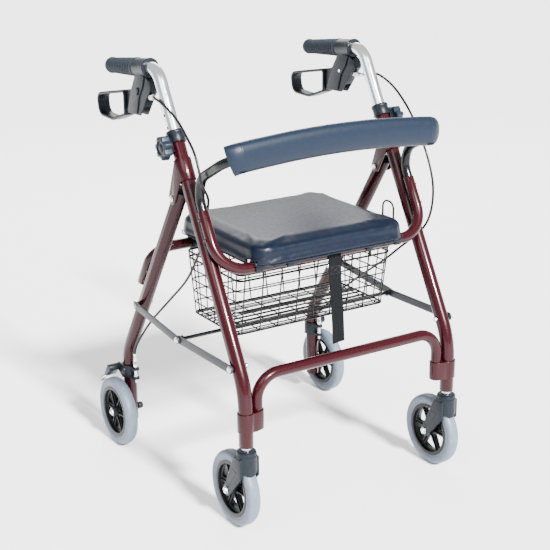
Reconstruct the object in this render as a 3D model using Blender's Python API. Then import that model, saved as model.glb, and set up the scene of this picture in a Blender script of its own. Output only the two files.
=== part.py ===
"""Four-wheeled rollator walker with a padded seat, a bowed backrest, a wire basket and loop brakes.

Metres, +Z up. The casters and the backrest are at the front, towards -Y. The person stands
behind the walker, at +Y, and faces -Y, so that person's left hand is at +X. The origin is on the
floor, under the middle of the walker's length and width.
"""
import math

import bmesh
import bpy
from mathutils import Matrix, Vector

# ---- Driving dimensions --------------------------------------------------------------------
GAP = 0.0003                     # between pieces that touch or run in each other
SIDES = {"left": 1, "right": -1}

WHEEL_RADIUS = 0.0762            # 6 inch wheels
TYRE_WIDTH = 0.027
RIM_RADIUS = 0.0569
CASTER_TRAIL = 0.043
WHEELBASE = 0.503                # caster stem to rear axle
STEM_Y = -(WHEELBASE + CASTER_TRAIL) / 2
REAR_AXLE_Y = STEM_Y + WHEELBASE
REAR_WHEEL_X = 0.277

LEG_X = 0.2445                   # the four legs' axes, left and right of the middle
LEG_RADIUS = 0.0143              # 28.6 mm tube
LEG_WALL = 0.0013
LEG_BORE = LEG_RADIUS - LEG_WALL
RAIL_RADIUS = 0.0111             # 22.2 mm tube of the cross members
RAIL_WALL = 0.0012
HANDLE_RADIUS = 0.0127           # 25.4 mm tube, slides in the front leg
BACK_RADIUS = 0.0095             # 19 mm tube, plugs into the front seat tube
TUBE_SIDES = 16

FRONT_RAKE = math.radians(61.3)  # slope of the front legs above their bend
REAR_RAKE = math.radians(56.6)   # slope of the rear legs above theirs
FRONT_BEND_Z = 0.293
FRONT_LEG_BOTTOM = 0.181
FRONT_LEG_LENGTH = 0.508         # from the bend to the open top
FOLD_Y = STEM_Y + 0.2365
FOLD_Z = 0.617

SEAT_TUBE_Z = 0.5015
REAR_RAIL_Z = 0.482
REAR_RAIL_SETBACK = 0.030        # rear seat tube behind the rear legs, square to them
CROSS_TUBE_Z = 0.3155
CROSS_TUBE_X = 0.2175

SEAT_BOARD = (0.5166, 0.5216)     # the cushion's cover wraps round its edges
SEAT_TOP = 0.548
SEAT_HALF_WIDTH = 0.181
SEAT_FRONT_Y = STEM_Y + 0.055
SEAT_REAR_Y = STEM_Y + 0.379

PAD_HEIGHT = 0.058
PAD_THICKNESS = 0.032

BRACE_THICKNESS = 0.0028
BRACE_RADIUS = 0.0085
FRONT_BRACE_X = 0.2620           # inner face of the front links
REAR_BRACE_X = 0.2655            # inner face of the rear links

BEND_STEP = 18.0                 # degrees of bend for each ring of a swept tube

FRONT_UP = Vector((0, math.cos(FRONT_RAKE), math.sin(FRONT_RAKE)))
FRONT_OUT = Vector((0, -math.sin(FRONT_RAKE), math.cos(FRONT_RAKE)))
REAR_DOWN = Vector((0, math.cos(REAR_RAKE), -math.sin(REAR_RAKE)))
REAR_OUT = Vector((0, math.sin(REAR_RAKE), math.cos(REAR_RAKE)))
X_AXIS = Vector((1, 0, 0))
Z_AXIS = Vector((0, 0, 1))


def front_leg(side, along, out=0.0):
    """A point on a front leg's slope: distance above its bend, and out from it to the front."""
    bend = Vector((side * LEG_X, STEM_Y, FRONT_BEND_Z))
    return bend + FRONT_UP * along + FRONT_OUT * out


def rear_leg(side, along, out=0.0):
    """A point on a rear leg's slope: distance below the fold pivot, and out from it to the rear."""
    return Vector((side * LEG_X, FOLD_Y, FOLD_Z)) + REAR_DOWN * along + REAR_OUT * out


RAIL_STANDOFF = LEG_RADIUS + RAIL_RADIUS + GAP
ARM_CORNER = (SEAT_TUBE_Z - front_leg(1, 0, RAIL_STANDOFF).z) / FRONT_UP.z
SEAT_TUBE_Y = front_leg(1, ARM_CORNER, RAIL_STANDOFF).y
REAR_CORNER = (rear_leg(1, 0, REAR_RAIL_SETBACK).z - REAR_RAIL_Z) / -REAR_DOWN.z
REAR_RAIL_Y = rear_leg(1, REAR_CORNER, REAR_RAIL_SETBACK).y
REAR_BEND = (REAR_AXLE_Y - FOLD_Y) / REAR_DOWN.y

BRACE_FRONT = (front_leg(1, 0.0467).y, front_leg(1, 0.0467).z)
BRACE_MIDDLE = (STEM_Y + 0.225, 0.330)
BRACE_REAR = (rear_leg(1, 0.321).y, rear_leg(1, 0.321).z)

KNOB_ALONG = 0.486               # height knob and collar, above the front leg's bend
HANDLE_CORNER = 0.6444
GRIP_SLOPE = math.radians(-4.8)
GRIP_AXIS = Vector((0, math.cos(GRIP_SLOPE), math.sin(GRIP_SLOPE)))
BAND_START = 0.034               # brake bracket's band, from the handle's corner along the grip
GRIP_START = 0.082
GRIP_LENGTH = 0.129
LEVER_PIVOT = (STEM_Y + 0.379, 0.803)
ARM_PIVOT = (STEM_Y + 0.520, 0.174)


# ---- Scene, bodies and materials -------------------------------------------------------------
for item in list(bpy.data.objects):
    bpy.data.objects.remove(item, do_unlink=True)

COLOURS = {
    "burgundy_paint": ((0.115, 0.014, 0.022), 0.28, 0.55),
    "bright_metal": ((0.72, 0.73, 0.75), 0.22, 1.0),
    "grey_steel": ((0.17, 0.175, 0.19), 0.45, 0.6),
    "black_steel": ((0.012, 0.013, 0.015), 0.3, 0.5),
    "black_plastic": ((0.018, 0.022, 0.027), 0.45, 0.0),
    "grip_rubber": ((0.016, 0.02, 0.026), 0.75, 0.0),
    "tyre_rubber": ((0.40, 0.45, 0.53), 0.6, 0.0),
    "rim_plastic": ((0.012, 0.015, 0.018), 0.4, 0.0),
    "seat_vinyl": ((0.014, 0.02, 0.034), 0.4, 0.0),
    "foam": ((0.016, 0.022, 0.032), 0.65, 0.0),
    "webbing": ((0.008, 0.009, 0.011), 0.85, 0.0),
    "cable_black": ((0.01, 0.01, 0.011), 0.45, 0.0),
}


def make_material(name, colour, roughness, metallic):
    material = bpy.data.materials.new(name)
    material.use_nodes = True
    shader = material.node_tree.nodes["Principled BSDF"]
    shader.inputs["Base Color"].default_value = (*colour, 1.0)
    shader.inputs["Roughness"].default_value = roughness
    shader.inputs["Metallic"].default_value = metallic
    return material


MATERIALS = {name: make_material(name, *values) for name, values in COLOURS.items()}


def make_body(name, pivot):
    """An empty on a joint's axis, which the pieces of one moving body are parented to."""
    empty = bpy.data.objects.new("body_" + name, None)
    empty.location = pivot
    bpy.context.collection.objects.link(empty)
    return empty


BODIES = {
    "root": make_body("root", (0, 0, 0)),
    "rear_frame": make_body("rear_frame", (0, FOLD_Y, FOLD_Z)),
    "front_brace": make_body("front_brace", (0, *BRACE_FRONT)),
    "rear_brace": make_body("rear_brace", (0, *BRACE_REAR)),
    "seat": make_body("seat", (0, SEAT_TUBE_Y, SEAT_TUBE_Z)),
    "basket": make_body("basket", (0, SEAT_TUBE_Y, SEAT_TUBE_Z)),
    "strap": make_body("strap", (0, SEAT_TUBE_Y, SEAT_TUBE_Z)),
}
for label, sign in SIDES.items():
    wheel_y = STEM_Y + CASTER_TRAIL
    pivots = {
        "handle": front_leg(sign, FRONT_LEG_LENGTH),
        "brake_lever": (sign * LEG_X, *LEVER_PIVOT),
        "height_knob": front_leg(sign, KNOB_ALONG),
        "brake_arm": (sign * REAR_WHEEL_X, *ARM_PIVOT),
        "caster": (sign * LEG_X, STEM_Y, WHEEL_RADIUS),
        "front_wheel": (sign * LEG_X, wheel_y, WHEEL_RADIUS),
        "rear_wheel": (sign * REAR_WHEEL_X, REAR_AXLE_Y, WHEEL_RADIUS),
    }
    for part, pivot in pivots.items():
        BODIES[f"{part}_{label}"] = make_body(f"{part}_{label}", pivot)


# ---- Mesh tools ------------------------------------------------------------------------------
def finish(name, shape, material, body, smooth_angle=35.0):
    """Names a shape, sets its origin on its body's axis, and gives it its material."""
    shape.name = name
    pivot = BODIES[body].location
    shape.data.transform(Matrix.Translation(-pivot))
    shape.parent = BODIES[body]
    shape.data.materials.clear()
    shape.data.materials.append(MATERIALS[material])
    shape.data.shade_smooth()
    shape.data.set_sharp_from_angle(angle=math.radians(smooth_angle))
    return shape


def to_object(mesh_builder):
    """Turns a bmesh into an object whose faces point out."""
    bmesh.ops.recalc_face_normals(mesh_builder, faces=mesh_builder.faces)
    mesh = bpy.data.meshes.new("shape")
    mesh_builder.to_mesh(mesh)
    mesh_builder.free()
    shape = bpy.data.objects.new("shape", mesh)
    bpy.context.collection.objects.link(shape)
    return shape


def combine(shape, tools, operation):
    """Joins tools to a shape, or cuts them from it, and keeps only the result."""
    for tool in tools:
        modifier = shape.modifiers.new("combine", "BOOLEAN")
        modifier.operation = operation
        modifier.solver = "EXACT"
        modifier.object = tool
        evaluated = shape.evaluated_get(bpy.context.evaluated_depsgraph_get())
        result = bpy.data.meshes.new_from_object(evaluated)
        shape.modifiers.clear()
        shape.data = result
        bpy.data.objects.remove(tool, do_unlink=True)
    return shape


def join(shape, *tools):
    return combine(shape, tools, "UNION")


def cut(shape, *tools):
    return combine(shape, tools, "DIFFERENCE")


def rounded_path(corners):
    """Points along a line of corners (x, y, z, bend radius), with an arc at each inner corner."""
    points = [Vector(corners[0][:3])]
    for before, corner, after in zip(corners, corners[1:], corners[2:]):
        here = Vector(corner[:3])
        radius = corner[3]
        back = (Vector(before[:3]) - here).normalized()
        ahead = (Vector(after[:3]) - here).normalized()
        turn = math.pi - back.angle(ahead)
        reach = radius * math.tan(turn / 2)
        centre = here + (back + ahead).normalized() * (radius / math.cos(turn / 2))
        start = here + back * reach - centre
        end = here + ahead * reach - centre
        axis = start.cross(end).normalized()
        steps = max(4, math.ceil(math.degrees(turn) / BEND_STEP))
        for step in range(steps + 1):
            points.append(centre + Matrix.Rotation(turn * step / steps, 3, axis) @ start)
    points.append(Vector(corners[-1][:3]))
    return points


def sweep_rings(path, profile, across, upright=False):
    """Rings of points where a profile (along across, along its normal) crosses each path point.

    Across turns along with the path, or always leans on its first direction when upright.
    """
    rings = []
    for index, point in enumerate(path):
        before = path[max(index - 1, 0)]
        after = path[min(index + 1, len(path) - 1)]
        arriving = (point - before).normalized()
        leaving = (after - point).normalized()
        tangent = (arriving + leaving).normalized()
        square = (across - tangent * across.dot(tangent)).normalized()
        normal = tangent.cross(square)
        rings.append([point + square * a + normal * b for a, b in profile])
        if not upright:
            across = square
    return rings


def loft(rings, inner=None):
    """A solid through rings of points: capped at both ends, or open ended with an inner skin."""
    builder = bmesh.new()

    def skin(loops):
        made = [[builder.verts.new(point) for point in loop] for loop in loops]
        count = len(made[0])
        for lower, upper in zip(made, made[1:]):
            for i in range(count):
                j = (i + 1) % count
                builder.faces.new((lower[i], lower[j], upper[j], upper[i]))
        return made

    outer = skin(rings)
    if inner is None:
        builder.faces.new(outer[0])
        builder.faces.new(outer[-1])
    else:
        bore = skin(inner)
        count = len(bore[0])
        for end in (0, -1):
            for i in range(count):
                j = (i + 1) % count
                builder.faces.new((outer[end][i], outer[end][j], bore[end][j], bore[end][i]))
    return to_object(builder)


def circle(radius, sides):
    """A closed circle of (a, b) points about zero."""
    turns = [2 * math.pi * step / sides for step in range(sides)]
    return [(radius * math.cos(turn), radius * math.sin(turn)) for turn in turns]


def tube(path, radius, wall=0.0, sides=TUBE_SIDES, across=X_AXIS):
    """A round bar along a path, or a hollow tube open at both ends when it has a wall."""
    outer = sweep_rings(path, circle(radius, sides), across)
    if not wall:
        return loft(outer)
    return loft(outer, sweep_rings(path, circle(radius - wall, sides), across))


def turned(profile, centre, axis, sides, closed=True):
    """A turned solid: (radius, height) points about an axis. An open profile ends on the axis."""
    frame = Matrix.Translation(centre) @ axis.to_track_quat("Z", "Y").to_matrix().to_4x4()
    builder = bmesh.new()
    rows = []
    for radius, height in profile:
        if radius == 0:
            rows.append([builder.verts.new(frame @ Vector((0, 0, height)))] * sides)
            continue
        ring = [frame @ Vector((a, b, height)) for a, b in circle(radius, sides)]
        rows.append([builder.verts.new(point) for point in ring])
    pairs = list(zip(rows, rows[1:]))
    if closed:
        pairs.append((rows[-1], rows[0]))
    for lower, upper in pairs:
        for i in range(sides):
            j = (i + 1) % sides
            corners = [lower[i], lower[j], upper[j], upper[i]]
            builder.faces.new(list(dict.fromkeys(corners)))
    return to_object(builder)


def rod(start, end, radius, sides=12):
    """A plain cylinder between two points."""
    start = Vector(start)
    end = Vector(end)
    length = (end - start).length
    profile = [(0, 0), (radius, 0), (radius, length), (0, length)]
    return turned(profile, start, end - start, sides, closed=False)


def bolt(side, y, z, steps, sides=12):
    """A turned pin along X through (y, z): steps are (radius, x from, x to), inside to outside."""
    profile = [(0, steps[0][1])]
    for radius, start, end in steps:
        profile += [(radius, start), (radius, end)]
    profile.append((0, steps[-1][2]))
    return turned(profile, Vector((0, y, z)), X_AXIS * side, sides, closed=False)


def slab(outline, start, end):
    """An outline of (y, z) points made solid from x = start to x = end."""
    low, high = sorted((start, end))
    return loft([[Vector((x, y, z)) for y, z in outline] for x in (low, high)])


def plate(outline, bottom, top):
    """An outline of (x, y) points made solid from z = bottom to z = top."""
    return loft([[Vector((x, y, z)) for x, y in outline] for z in (bottom, top)])


def arc(centre, radius, start, end, steps):
    """Points on an arc about a centre, from one angle in degrees to another."""
    turns = [math.radians(start + (end - start) * step / steps) for step in range(steps + 1)]
    return [(centre[0] + radius * math.cos(t), centre[1] + radius * math.sin(t)) for t in turns]


def band(start, start_radius, end, end_radius, steps=6):
    """The outline round two circles: a link with round ends, or a tapered lug."""
    span = Vector(end) - Vector(start)
    heading = math.degrees(math.atan2(span.y, span.x))
    lean = math.degrees(math.asin((start_radius - end_radius) / span.length))
    first = arc(end, end_radius, heading - 90 + lean, heading + 90 - lean, steps)
    second = arc(start, start_radius, heading + 90 - lean, heading + 270 + lean, steps)
    return first + second


def rounded_outline(corners, steps=4):
    """A closed outline from corners (a, b, radius), each rounded by an arc."""
    outline = []
    count = len(corners)
    for index, (a, b, radius) in enumerate(corners):
        here = Vector((a, b))
        back = (Vector(corners[index - 1][:2]) - here).normalized()
        ahead = (Vector(corners[(index + 1) % count][:2]) - here).normalized()
        half = back.angle(ahead) / 2
        reach = radius / math.tan(half)
        centre = here + (back + ahead).normalized() * (radius / math.sin(half))
        start = here + back * reach - centre
        end = here + ahead * reach - centre
        turn = start.angle_signed(end)
        for step in range(steps + 1):
            spun = Matrix.Rotation(-turn * step / steps, 2) @ start
            outline.append((centre.x + spun.x, centre.y + spun.y))
    return outline


# ---- Front frame -----------------------------------------------------------------------------
def make_front_leg(label, side):
    path = rounded_path([
        (side * LEG_X, STEM_Y, FRONT_LEG_BOTTOM),
        (side * LEG_X, STEM_Y, FRONT_BEND_Z, 0.165),
        tuple(front_leg(side, FRONT_LEG_LENGTH)),
    ])
    leg = tube(path, LEG_RADIUS, LEG_WALL)
    stud = front_leg(side, KNOB_ALONG)
    cut(
        leg,
        rod(stud, stud + X_AXIS * side * 0.02, 0.0046, 10),
        rod((side * 0.22, *BRACE_FRONT), (side * 0.27, *BRACE_FRONT), 0.0033, 10),
    )
    finish("front_leg_" + label, leg, "burgundy_paint", "root")


def make_front_seat_tube():
    """The U under the seat's front edge, whose arms run up in front of the front legs."""
    ends = [front_leg(side, 0.3462, RAIL_STANDOFF) for side in (-1, 1)]
    corners = [front_leg(side, ARM_CORNER, RAIL_STANDOFF) for side in (-1, 1)]
    path = rounded_path([
        tuple(ends[0]), (*corners[0], 0.060), (*corners[1], 0.060), tuple(ends[1]),
    ])
    rail = tube(path, RAIL_RADIUS, RAIL_WALL)
    finish("front_seat_tube", rail, "burgundy_paint", "root")


def make_lower_cross_tube():
    y = STEM_Y + 0.004
    path = rounded_path([
        (-CROSS_TUBE_X, y, 0.216),
        (-CROSS_TUBE_X, y, CROSS_TUBE_Z, 0.048),
        (CROSS_TUBE_X, y, CROSS_TUBE_Z, 0.048),
        (CROSS_TUBE_X, y, 0.216),
    ])
    bar = tube(path, RAIL_RADIUS, across=Vector((0, 1, 0)))
    finish("lower_cross_tube", bar, "burgundy_paint", "root")


def make_leg_clamp(label, side):
    """The figure-of-eight clamp that holds the lower cross tube to a front leg."""
    leg = (side * LEG_X, STEM_Y)
    end = (side * CROSS_TUBE_X, STEM_Y + 0.004)
    bottom, top = 0.2115, 0.2500
    clamp = plate(band(leg, LEG_RADIUS + 0.0024, end, RAIL_RADIUS + 0.0024, 9), bottom, top)
    for centre, radius in ((leg, LEG_RADIUS), (end, RAIL_RADIUS)):
        hole = rod((*centre, bottom - 0.01), (*centre, top + 0.01), radius + 0.0005, TUBE_SIDES)
        cut(clamp, hole)
    finish("leg_clamp_" + label, clamp, "burgundy_paint", "root")


def make_fold_bracket(label, side):
    """The channel round a front leg, with two ears that hold the rear leg's pivot bolt."""
    bottom, top = 0.415, 0.459
    ends = [front_leg(side, bottom), front_leg(side, top)]
    wall = 0.0025
    outer = LEG_RADIUS + GAP + wall
    bracket = tube(ends, outer, wall)
    pivot = (FOLD_Y, FOLD_Z)
    upper, lower = front_leg(side, top), front_leg(side, bottom)
    ear = [(upper.y, upper.z)] + arc(pivot, 0.0125, 20, -150, 8) + [(lower.y, lower.z)]
    for offset in (LEG_RADIUS + GAP, -LEG_RADIUS - GAP - 0.0026):
        inner = side * (LEG_X + offset)
        join(bracket, slab(ear, inner, inner + side * 0.0026))
    cut(bracket, rod((side * 0.20, *pivot), (side * 0.29, *pivot), 0.0033, 10))
    finish("fold_bracket_" + label, bracket, "burgundy_paint", "root")


def backrest_path():
    """Centre line of the backrest tube, from one plugged end to the other."""
    half = [
        (LEG_X, *front_leg(1, 0.316, RAIL_STANDOFF).yz, 0.0),
        (LEG_X, *front_leg(1, 0.372, RAIL_STANDOFF).yz, 0.044),
        (LEG_X, STEM_Y + 0.149, 0.672, 0.043),
        (LEG_X, STEM_Y + 0.0505, 0.7225, 0.034),
    ]
    middle = (0.0, STEM_Y + 0.0495, 0.7440, 2.0)
    mirrored = [(-x, y, z, radius) for x, y, z, radius in half]
    return rounded_path(mirrored + [middle] + half[::-1])


def make_backrest():
    path = backrest_path()
    finish("backrest_tube", tube(path, BACK_RADIUS, sides=12), "black_steel", "root")

    padded = [point for point in path if abs(point.x) < LEG_X - 0.0085]
    height, thickness = PAD_HEIGHT / 2, PAD_THICKNESS / 2
    corner = thickness * 0.92
    profile = rounded_outline([
        (height, thickness, corner), (-height, thickness, corner),
        (-height, -thickness, corner), (height, -thickness, corner),
    ], steps=3)
    outer = sweep_rings(padded, profile, Z_AXIS, upright=True)
    bore = sweep_rings(padded, circle(BACK_RADIUS + 2 * GAP, len(profile)), Z_AXIS, upright=True)
    first = profile[0]
    shift = round(math.atan2(first[1], first[0]) / (2 * math.pi) * len(profile))
    turning = 1 if profile[0][0] * profile[1][1] - profile[0][1] * profile[1][0] > 0 else -1
    order = [(shift + turning * step) % len(profile) for step in range(len(profile))]
    bore = [[ring[index] for index in order] for ring in bore]
    finish("backrest_pad", loft(outer, bore), "foam", "root", 60.0)


def make_height_collar(label, side):
    """The plastic cap of a front leg, with the boss that the height knob screws into."""
    bottom, step, top = 0.492, FRONT_LEG_LENGTH + GAP, 0.516
    profile = [
        (LEG_RADIUS + GAP, bottom), (0.0178, bottom), (0.0178, top - 0.002), (0.0160, top),
        (HANDLE_RADIUS + GAP, top), (HANDLE_RADIUS + GAP, step), (LEG_RADIUS + GAP, step),
    ]
    collar = turned(profile, front_leg(side, 0), FRONT_UP, TUBE_SIDES)
    corners = [(0.472, -0.009), (0.503, -0.009), (0.503, 0.009), (0.472, 0.009)]
    outline = []
    for along, out in corners:
        corner = front_leg(side, along, out)
        outline.append((corner.y, corner.z))
    inner = side * (LEG_X + LEG_RADIUS + GAP)
    join(collar, slab(outline, inner, side * 0.2665))
    stud = front_leg(side, KNOB_ALONG)
    cut(collar, rod(stud, stud + X_AXIS * side * 0.04, 0.0044, 10))
    finish("height_collar_" + label, collar, "black_plastic", "root")


def make_height_knob(label, side):
    stud = front_leg(side, KNOB_ALONG)
    lobes, points = 7, 42
    outline = []
    for index in range(points):
        turn = 2 * math.pi * index / points
        radius = 0.0222 + 0.0018 * math.cos(lobes * turn)
        outline.append((stud.y + radius * math.cos(turn), stud.z + radius * math.sin(turn)))
    knob = slab(outline, side * 0.2668, side * 0.2845)
    tip = LEG_X + HANDLE_RADIUS + GAP
    join(knob, bolt(side, stud.y, stud.z, [(0.004, tip, 0.270)], 10))
    finish("height_knob_" + label, knob, "black_plastic", "height_knob_" + label)


# ---- Rear frame ------------------------------------------------------------------------------
def make_rear_leg(label, side):
    x = side * LEG_X
    path = rounded_path([
        tuple(rear_leg(side, -0.020)),
        (*rear_leg(side, REAR_BEND), 0.10),
        (x, REAR_AXLE_Y, 0.050),
    ])
    leg = tube(path, LEG_RADIUS, LEG_WALL)
    holes = [((FOLD_Y, FOLD_Z), 0.0033), (BRACE_REAR, 0.0033), ((REAR_AXLE_Y, WHEEL_RADIUS), 0.0044)]
    for place, radius in holes:
        cut(leg, rod((side * 0.22, *place), (side * 0.27, *place), radius, 10))
    finish("rear_leg_" + label, leg, "burgundy_paint", "rear_frame")


def make_rear_seat_tube():
    """The inverted U under the seat's rear edge, whose ends run down behind the rear legs."""
    ends = [rear_leg(side, REAR_CORNER + 0.102, REAR_RAIL_SETBACK) for side in (-1, 1)]
    corners = [rear_leg(side, REAR_CORNER, REAR_RAIL_SETBACK) for side in (-1, 1)]
    path = rounded_path([
        tuple(ends[0]), (*corners[0], 0.045), (*corners[1], 0.045), tuple(ends[1]),
    ])
    rail = tube(path, RAIL_RADIUS)
    spacer_end = REAR_RAIL_SETBACK - RAIL_RADIUS / 2
    for side in (-1, 1):
        for along in (REAR_CORNER + 0.058, REAR_CORNER + 0.088):
            weld = rod(
                rear_leg(side, along, LEG_RADIUS + GAP), rear_leg(side, along, spacer_end), 0.006, 10
            )
            join(rail, weld)
    finish("rear_seat_tube", rail, "burgundy_paint", "rear_frame")


def make_seat_rest(label, side):
    """A plastic clip on the rear seat tube: the seat rests on it, the basket's rim snaps in it."""
    centre = (REAR_RAIL_Y, REAR_RAIL_Z)
    x = side * 0.150
    half = 0.008
    outer = RAIL_RADIUS + GAP + 0.0030
    y, z = centre
    top = SEAT_BOARD[0] - GAP
    outline = [
        (y - 0.009, top), (y - 0.0165, 0.4885), (STEM_Y + 0.3255, 0.4885),
        (STEM_Y + 0.3255, 0.4715), (STEM_Y + 0.3290, 0.4715), (STEM_Y + 0.3290, 0.4822),
    ]
    outline += arc(centre, outer, 180, 385, 12) + [(y + 0.0060, top)]
    rest = slab(outline, x - half, x + half)
    cut(rest, rod((x - 0.03, *centre), (x + 0.03, *centre), RAIL_RADIUS + GAP, TUBE_SIDES))
    finish("seat_rest_" + label, rest, "black_plastic", "rear_frame")


def make_fold_bolt(label, side):
    ear = LEG_RADIUS + GAP + 0.0026 + GAP
    pin = bolt(side, FOLD_Y, FOLD_Z, [
        (0.0060, LEG_X - ear - 0.0042, LEG_X - ear),
        (0.0030, LEG_X - ear, LEG_X + ear),
        (0.0065, LEG_X + ear, LEG_X + ear + 0.0035),
    ])
    finish("fold_bolt_" + label, pin, "bright_metal", "rear_frame")


def make_rear_axle(label, side):
    leg = LEG_RADIUS + GAP
    hub = REAR_WHEEL_X + 0.0155
    axle = bolt(side, REAR_AXLE_Y, WHEEL_RADIUS, [
        (0.0075, 0.2180, LEG_X - leg),
        (0.0040, LEG_X - leg, LEG_X + leg),
        (0.0070, LEG_X + leg, REAR_WHEEL_X - 0.0158),
        (0.0040, REAR_WHEEL_X - 0.0158, hub + GAP),
        (0.0085, hub + GAP, 0.2985),
    ])
    finish("rear_axle_" + label, axle, "bright_metal", "rear_frame")


def make_brake_clamp(label, side):
    """The rear brake's body: a band round the leg, two cable lugs and the brake arm's bearing."""
    bottom, top = 0.154, 0.182
    axis = Vector((side * LEG_X, REAR_AXLE_Y, 0))
    bore, outer = LEG_RADIUS + GAP, 0.0186
    profile = [(bore, bottom), (outer, bottom), (outer, top), (bore, top)]
    clamp = turned(profile, axis, Z_AXIS, TUBE_SIDES)
    cable_y = STEM_Y + 0.4735
    x = side * LEG_X
    lug = [
        (x - 0.0075, cable_y - 0.0075), (x + 0.0075, cable_y - 0.0075),
        (x + 0.0075, REAR_AXLE_Y - 0.0148), (x - 0.0075, REAR_AXLE_Y - 0.0148),
    ]
    for height in (0.155, 0.176):
        join(clamp, plate(lug, height, height + 0.005))
    join(clamp, rod((x, cable_y, 0.146), (x, cable_y, 0.2052), 0.0048, 10))
    cheek = band(ARM_PIVOT, 0.009, (REAR_AXLE_Y, 0.168), 0.012)
    join(clamp, slab(cheek, side * 0.2595, side * 0.2638))
    cut(clamp, rod((side * 0.25, *ARM_PIVOT), (side * 0.28, *ARM_PIVOT), 0.0034, 10))
    finish("brake_clamp_" + label, clamp, "black_plastic", "rear_frame")


def make_brake_arm(label, side):
    """The arm over a rear wheel: its shoe's face follows the tyre 5 mm above it."""
    axle = (REAR_AXLE_Y, WHEEL_RADIUS)
    outline = arc(axle, WHEEL_RADIUS + 0.0050, 38, 68, 6)
    outline += arc(ARM_PIVOT, 0.0095, 262, 20, 8)
    outline += arc(axle, WHEEL_RADIUS + 0.0118, 62, 38, 5)
    arm = slab(outline, side * 0.2641, side * 0.2895)
    join(arm, bolt(side, *ARM_PIVOT, [(0.0031, 0.2596, 0.2660)], 10))
    finish("brake_arm_" + label, arm, "black_plastic", "brake_arm_" + label)


# ---- Handles and brake levers ------------------------------------------------------------------
def grip_point(side, along):
    """A point on the grip's axis, at a distance from the handle's corner."""
    return front_leg(side, HANDLE_CORNER) + GRIP_AXIS * along


def make_handle_tube(label, side):
    path = rounded_path([
        tuple(front_leg(side, 0.360)),
        (*front_leg(side, HANDLE_CORNER), 0.045),
        tuple(grip_point(side, GRIP_START + GRIP_LENGTH - 0.0053)),
    ])
    handle = tube(path, HANDLE_RADIUS, 0.0015)
    finish("handle_tube_" + label, handle, "bright_metal", "handle_" + label)


def make_grip(label, side):
    bore = HANDLE_RADIUS + GAP
    floor = GRIP_LENGTH - 0.005
    profile = [
        (0, GRIP_LENGTH), (0.0125, GRIP_LENGTH), (0.0150, GRIP_LENGTH - 0.003), (0.0155, 0.110),
        (0.0172, 0.075), (0.0190, 0.040), (0.0195, 0.012), (0.0188, 0.002), (0.0175, 0.0),
        (bore, 0.0), (bore, floor), (0, floor),
    ]
    grip = turned(profile, grip_point(side, GRIP_START), GRIP_AXIS, TUBE_SIDES, closed=False)
    finish("grip_" + label, grip, "grip_rubber", "handle_" + label)


def make_brake_bracket(label, side):
    """The band round the handle, with two cheeks below it for the brake lever's hub."""
    x = side * LEG_X
    length = GRIP_START - BAND_START - GAP
    bore, outer = HANDLE_RADIUS + GAP, 0.0185
    profile = [(bore, 0), (outer, 0), (outer, length), (bore, length)]
    bracket = turned(profile, grip_point(side, BAND_START), GRIP_AXIS, TUBE_SIDES)
    outline = [
        (STEM_Y + 0.352, 0.8420), (STEM_Y + 0.3275, 0.8290), (STEM_Y + 0.326, 0.8150),
        (STEM_Y + 0.344, 0.7960), (STEM_Y + 0.352, 0.7840), (STEM_Y + 0.374, 0.7570),
        (STEM_Y + 0.429, 0.7555), (STEM_Y + 0.407, 0.8070), (STEM_Y + 0.3895, 0.8300),
        (STEM_Y + 0.3885, 0.8420),
    ]
    cheeks = slab(outline, x - 0.0125, x + 0.0125)
    tunnel = rod(
        grip_point(side, BAND_START - 0.03), grip_point(side, GRIP_START + 0.02), bore + 0.0015, 24
    )
    join(bracket, cut(cheeks, tunnel))
    outlet = (x + side * 0.0040, STEM_Y + 0.3235, 0.8005)
    adjuster = rod((x, STEM_Y + 0.352, 0.798), outlet, 0.0052, 10)
    join(bracket, adjuster)
    slot = [
        (STEM_Y + 0.359, 0.8210), (STEM_Y + 0.359, 0.7750), (STEM_Y + 0.372, 0.7500),
        (STEM_Y + 0.440, 0.7500), (STEM_Y + 0.440, 0.8210),
    ]
    cut(
        bracket,
        slab(slot, x - 0.0072, x + 0.0072),
        rod((x - 0.03, *LEVER_PIVOT), (x + 0.03, *LEVER_PIVOT), 0.0043, 10),
    )
    finish("brake_bracket_" + label, bracket, "black_plastic", "handle_" + label)


def make_brake_lever(label, side):
    """The loop that the fingers squeeze, its hub between the cheeks, and its pivot pin."""
    x = side * LEG_X
    half_width = 0.0135
    outer = rounded_outline([
        (STEM_Y + 0.438, 0.8010, 0.007), (STEM_Y + 0.574, 0.7780, 0.018),
        (STEM_Y + 0.566, 0.7310, 0.022), (STEM_Y + 0.498, 0.7290, 0.034),
        (STEM_Y + 0.438, 0.7490, 0.007),
    ])
    inner = rounded_outline([
        (STEM_Y + 0.4435, 0.7945, 0.004), (STEM_Y + 0.5675, 0.7732, 0.013),
        (STEM_Y + 0.5605, 0.7364, 0.017), (STEM_Y + 0.4980, 0.7348, 0.029),
        (STEM_Y + 0.4435, 0.7530, 0.004),
    ])
    lever = slab(outer, x - half_width, x + half_width)
    cut(lever, slab(inner, x - 0.03, x + 0.03))
    hub = arc(LEVER_PIVOT, 0.0105, 80, 260, 8) + [
        (STEM_Y + 0.4415, 0.7510), (STEM_Y + 0.4415, 0.7990),
    ]
    join(lever, slab(hub, x - 0.0068, x + 0.0068))
    pin = bolt(side, *LEVER_PIVOT, [(0.0040, LEG_X - 0.0125, LEG_X + 0.0138)], 10)
    cap_start = side * (LEG_X + 0.0128)
    cap = band((LEVER_PIVOT[0] - 0.002, LEVER_PIVOT[1] + 0.005), 0.0058, LEVER_PIVOT, 0.0058)
    cap = slab(cap, cap_start, cap_start + side * 0.0025)
    join(lever, pin, cap)
    finish("brake_lever_" + label, lever, "black_plastic", "brake_lever_" + label)


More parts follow.
